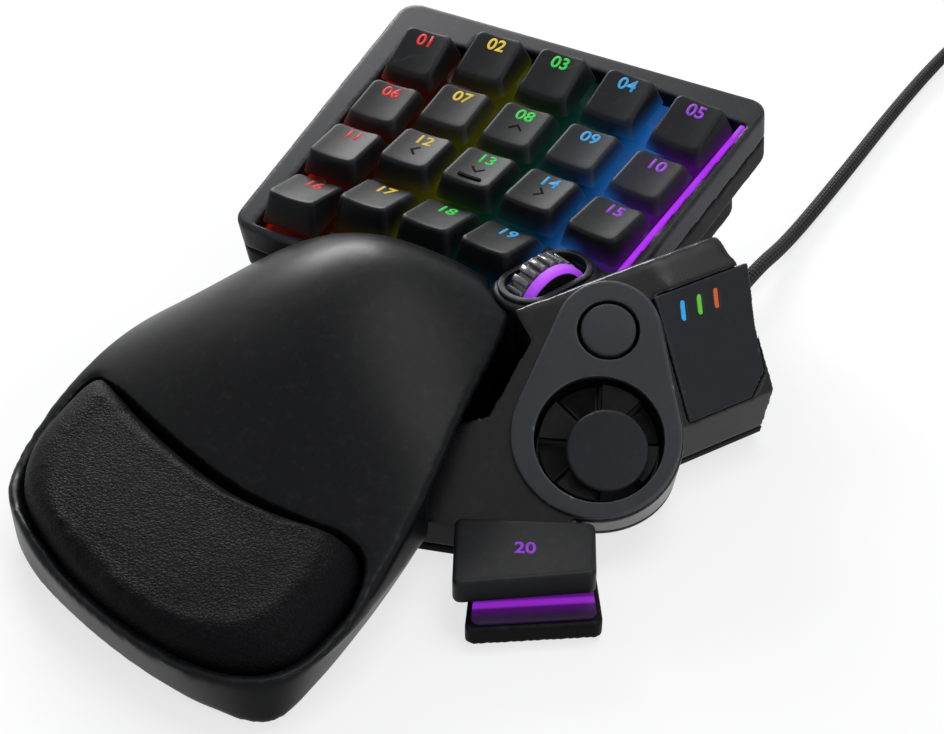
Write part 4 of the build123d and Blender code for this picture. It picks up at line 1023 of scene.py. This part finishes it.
head_height = 0.9
places = bpy.data.meshes.new("screw places")
places.from_pydata([((low.x + high.x) / 2, (low.y + high.y) / 2, low.z + head_height / 2 * MM)
                    for low, high in island_boxes(frame["nodes"]["screws"].data)], [], [])
screw_mesh = grown("screws_turned", places, crossed_screws, {
    "Head Radius": 2.4, "Head Height": head_height, "Shank Radius": 1.4, "Shank Length": 1.6,
    "Recess Width": 0.7, "Material": steel})
stand_in(link_mesh("screws_turned", screw_mesh, steel), "screws")

# Cord: from the strain relief along the desk, wound into a coil, and up to its plug
route = [(43, 78, 6.3), (43, 92, 6.3), (43.1, 112, 2.1), (43.4, 150, 2.1), (43, 190, 2.1),
         (43.6, 222, 2.2), (46.1, 246, 3.5), (46.1, 265, 3.5)]
coil_middle, coil_floor, layer_height = (75, 283), 3.5, 4.5
coil_radius, coil_depth, coil_points = 28.9, 13.8, 14
layers, turns = 4, 3
for step in range(layers * turns * coil_points + 1):
    share = step / (turns * coil_points)
    layer = min(int(share), layers - 1)
    within = share - layer
    radius = coil_radius - coil_depth * (within if layer % 2 == 0 else 1 - within)
    climb = min(max((share - round(share)) * turns * 2 + 0.5, 0), 1)
    level = min(max(round(share) - 1 + climb, 0), layers - 1)
    turn = math.pi - 2 * math.pi * step / coil_points
    route.append((coil_middle[0] + radius * math.cos(turn), coil_middle[1] + radius * math.sin(turn),
                  coil_floor + layer_height * level))
route += [(46.1, 301, 17), (46.1, 311, 17), (54, 321, 20.4), (68, 325, 22.6), (84, 321, 23.3),
          (96, 309, 23.3), (96, 294, 23.3)]
cord_curve = bpy.data.curves.new("cord_route", "CURVE")
cord_curve.dimensions = "3D"
cord_curve.resolution_u = 8
spline = cord_curve.splines.new("NURBS")
spline.points.add(len(route) - 1)
for point, place in zip(spline.points, route):
    point.co = (*mm(*place), 1)
spline.order_u = 3
spline.use_endpoint_u = True
cord_path = [vertex.co.copy() for vertex in made_plain(link_curve(cord_curve)).vertices]


def tube(name, path, radius, sides, material):
    """A closed tube round a path, with a UV map of metres along it and turns round it."""
    work = bmesh.new()
    layer = work.loops.layers.uv.new("UVMap")
    side = (path[1] - path[0]).normalized().orthogonal().normalized()
    rings, lengths, length = [], [], 0.0
    for place, point in enumerate(path):
        ahead = way_on(path, place)
        side = (side - ahead * side.dot(ahead)).normalized()
        other = ahead.cross(side)
        if place:
            length += (point - path[place - 1]).length
        lengths.append(length)
        angles = [2 * math.pi * turn / sides for turn in range(sides)]
        rings.append([work.verts.new(point + radius * (side * math.cos(angle) + other * math.sin(angle)))
                      for angle in angles])
    for place, (first, second) in enumerate(zip(rings, rings[1:])):
        near, far = lengths[place], lengths[place + 1]
        for turn, face in enumerate(bridge(work, first, second)):
            corners = ((near, turn), (near, turn + 1), (far, turn + 1), (far, turn))
            for loop, (along, around) in zip(face.loops, corners):
                loop[layer].uv = (along, around / sides)
    work.faces.new(rings[0][::-1])
    work.faces.new(rings[-1])
    mesh = mesh_of(work, name)
    mesh.shade_smooth()
    return link_mesh(name, mesh, material), length


cord, cord_length = tube("usb_cord_braided", cord_path, 2 * MM, 12, braid)
print("cord length", round(cord_length, 4))
stand_in(cord, "usb_cable", "cable_coil", "cable_tail")

# Floor, world and lamps
def white_where_seen(tree, kind, first, first_output, share):
    """Lets a surface show white to the camera, in mirrors and through glass."""
    tree.nodes.clear()
    output = tree.nodes.new(f"ShaderNodeOutput{kind}")
    seen = tree.nodes.new("ShaderNodeLightPath")
    mirrored = math_node("MAXIMUM", (seen, "Is Glossy Ray"), (seen, "Is Transmission Ray"))
    shown = math_node("MAXIMUM", (seen, "Is Camera Ray"), mirrored)
    base = add_node(tree, *first)
    white = add_node(tree, "ShaderNodeEmission" if kind == "Material" else "ShaderNodeBackground",
                     (1, 1, 1, 1), 1.0)
    blend = add_node(tree, "ShaderNodeMixShader", math_node("MULTIPLY", shown, share),
                     (base, first_output), (white, 0))
    feed(output, (blend, "Shader"))


floor_half, floor_drop = 4, -0.0002
floor_mesh = bpy.data.meshes.new("floor")
floor_mesh.from_pydata([(x * floor_half, y * floor_half, floor_drop)
                        for x, y in ((-1, -1), (1, -1), (1, 1), (-1, 1))], [], [(0, 1, 2, 3)])
floor_paint = bpy.data.materials.new("pale floor")
floor_paint.use_nodes = True
white_where_seen(floor_paint.node_tree, "Material", ("ShaderNodeBsdfDiffuse", (0.85, 0.85, 0.86, 1)),
                 "BSDF", 0.72)
link_mesh("floor", floor_mesh, floor_paint)

world = bpy.data.worlds.new("studio")
world.use_nodes = True
bpy.context.scene.world = world
white_where_seen(world.node_tree, "World", ("ShaderNodeBackground", (0.95, 0.97, 1.0, 1), 0.4),
                 "Background", 1.0)


def softbox(name, place, aim, width, height, power):
    lamp = bpy.data.lights.new(name, "AREA")
    lamp.shape = "RECTANGLE"
    lamp.size, lamp.size_y = width, height
    lamp.energy = power
    made = bpy.data.objects.new(name, lamp)
    made.location = place
    made.rotation_euler = (Vector(aim) - Vector(place)).to_track_quat("-Z", "Y").to_euler()
    bpy.context.scene.collection.objects.link(made)


softbox("back softbox", (-0.95, 0.95, 0.66), (-0.02, 0.0, 0.02), 0.7, 0.5, 21)
softbox("top softbox", (0.15, 0.35, 1.25), (0, 0, 0), 0.7, 0.7, 7)
softbox("side softbox", (1.2, -0.3, 0.7), (0, 0, 0), 0.5, 0.5, 4)

bpy.context.scene.view_settings.view_transform = "Standard"

bpy.context.view_layer.update()
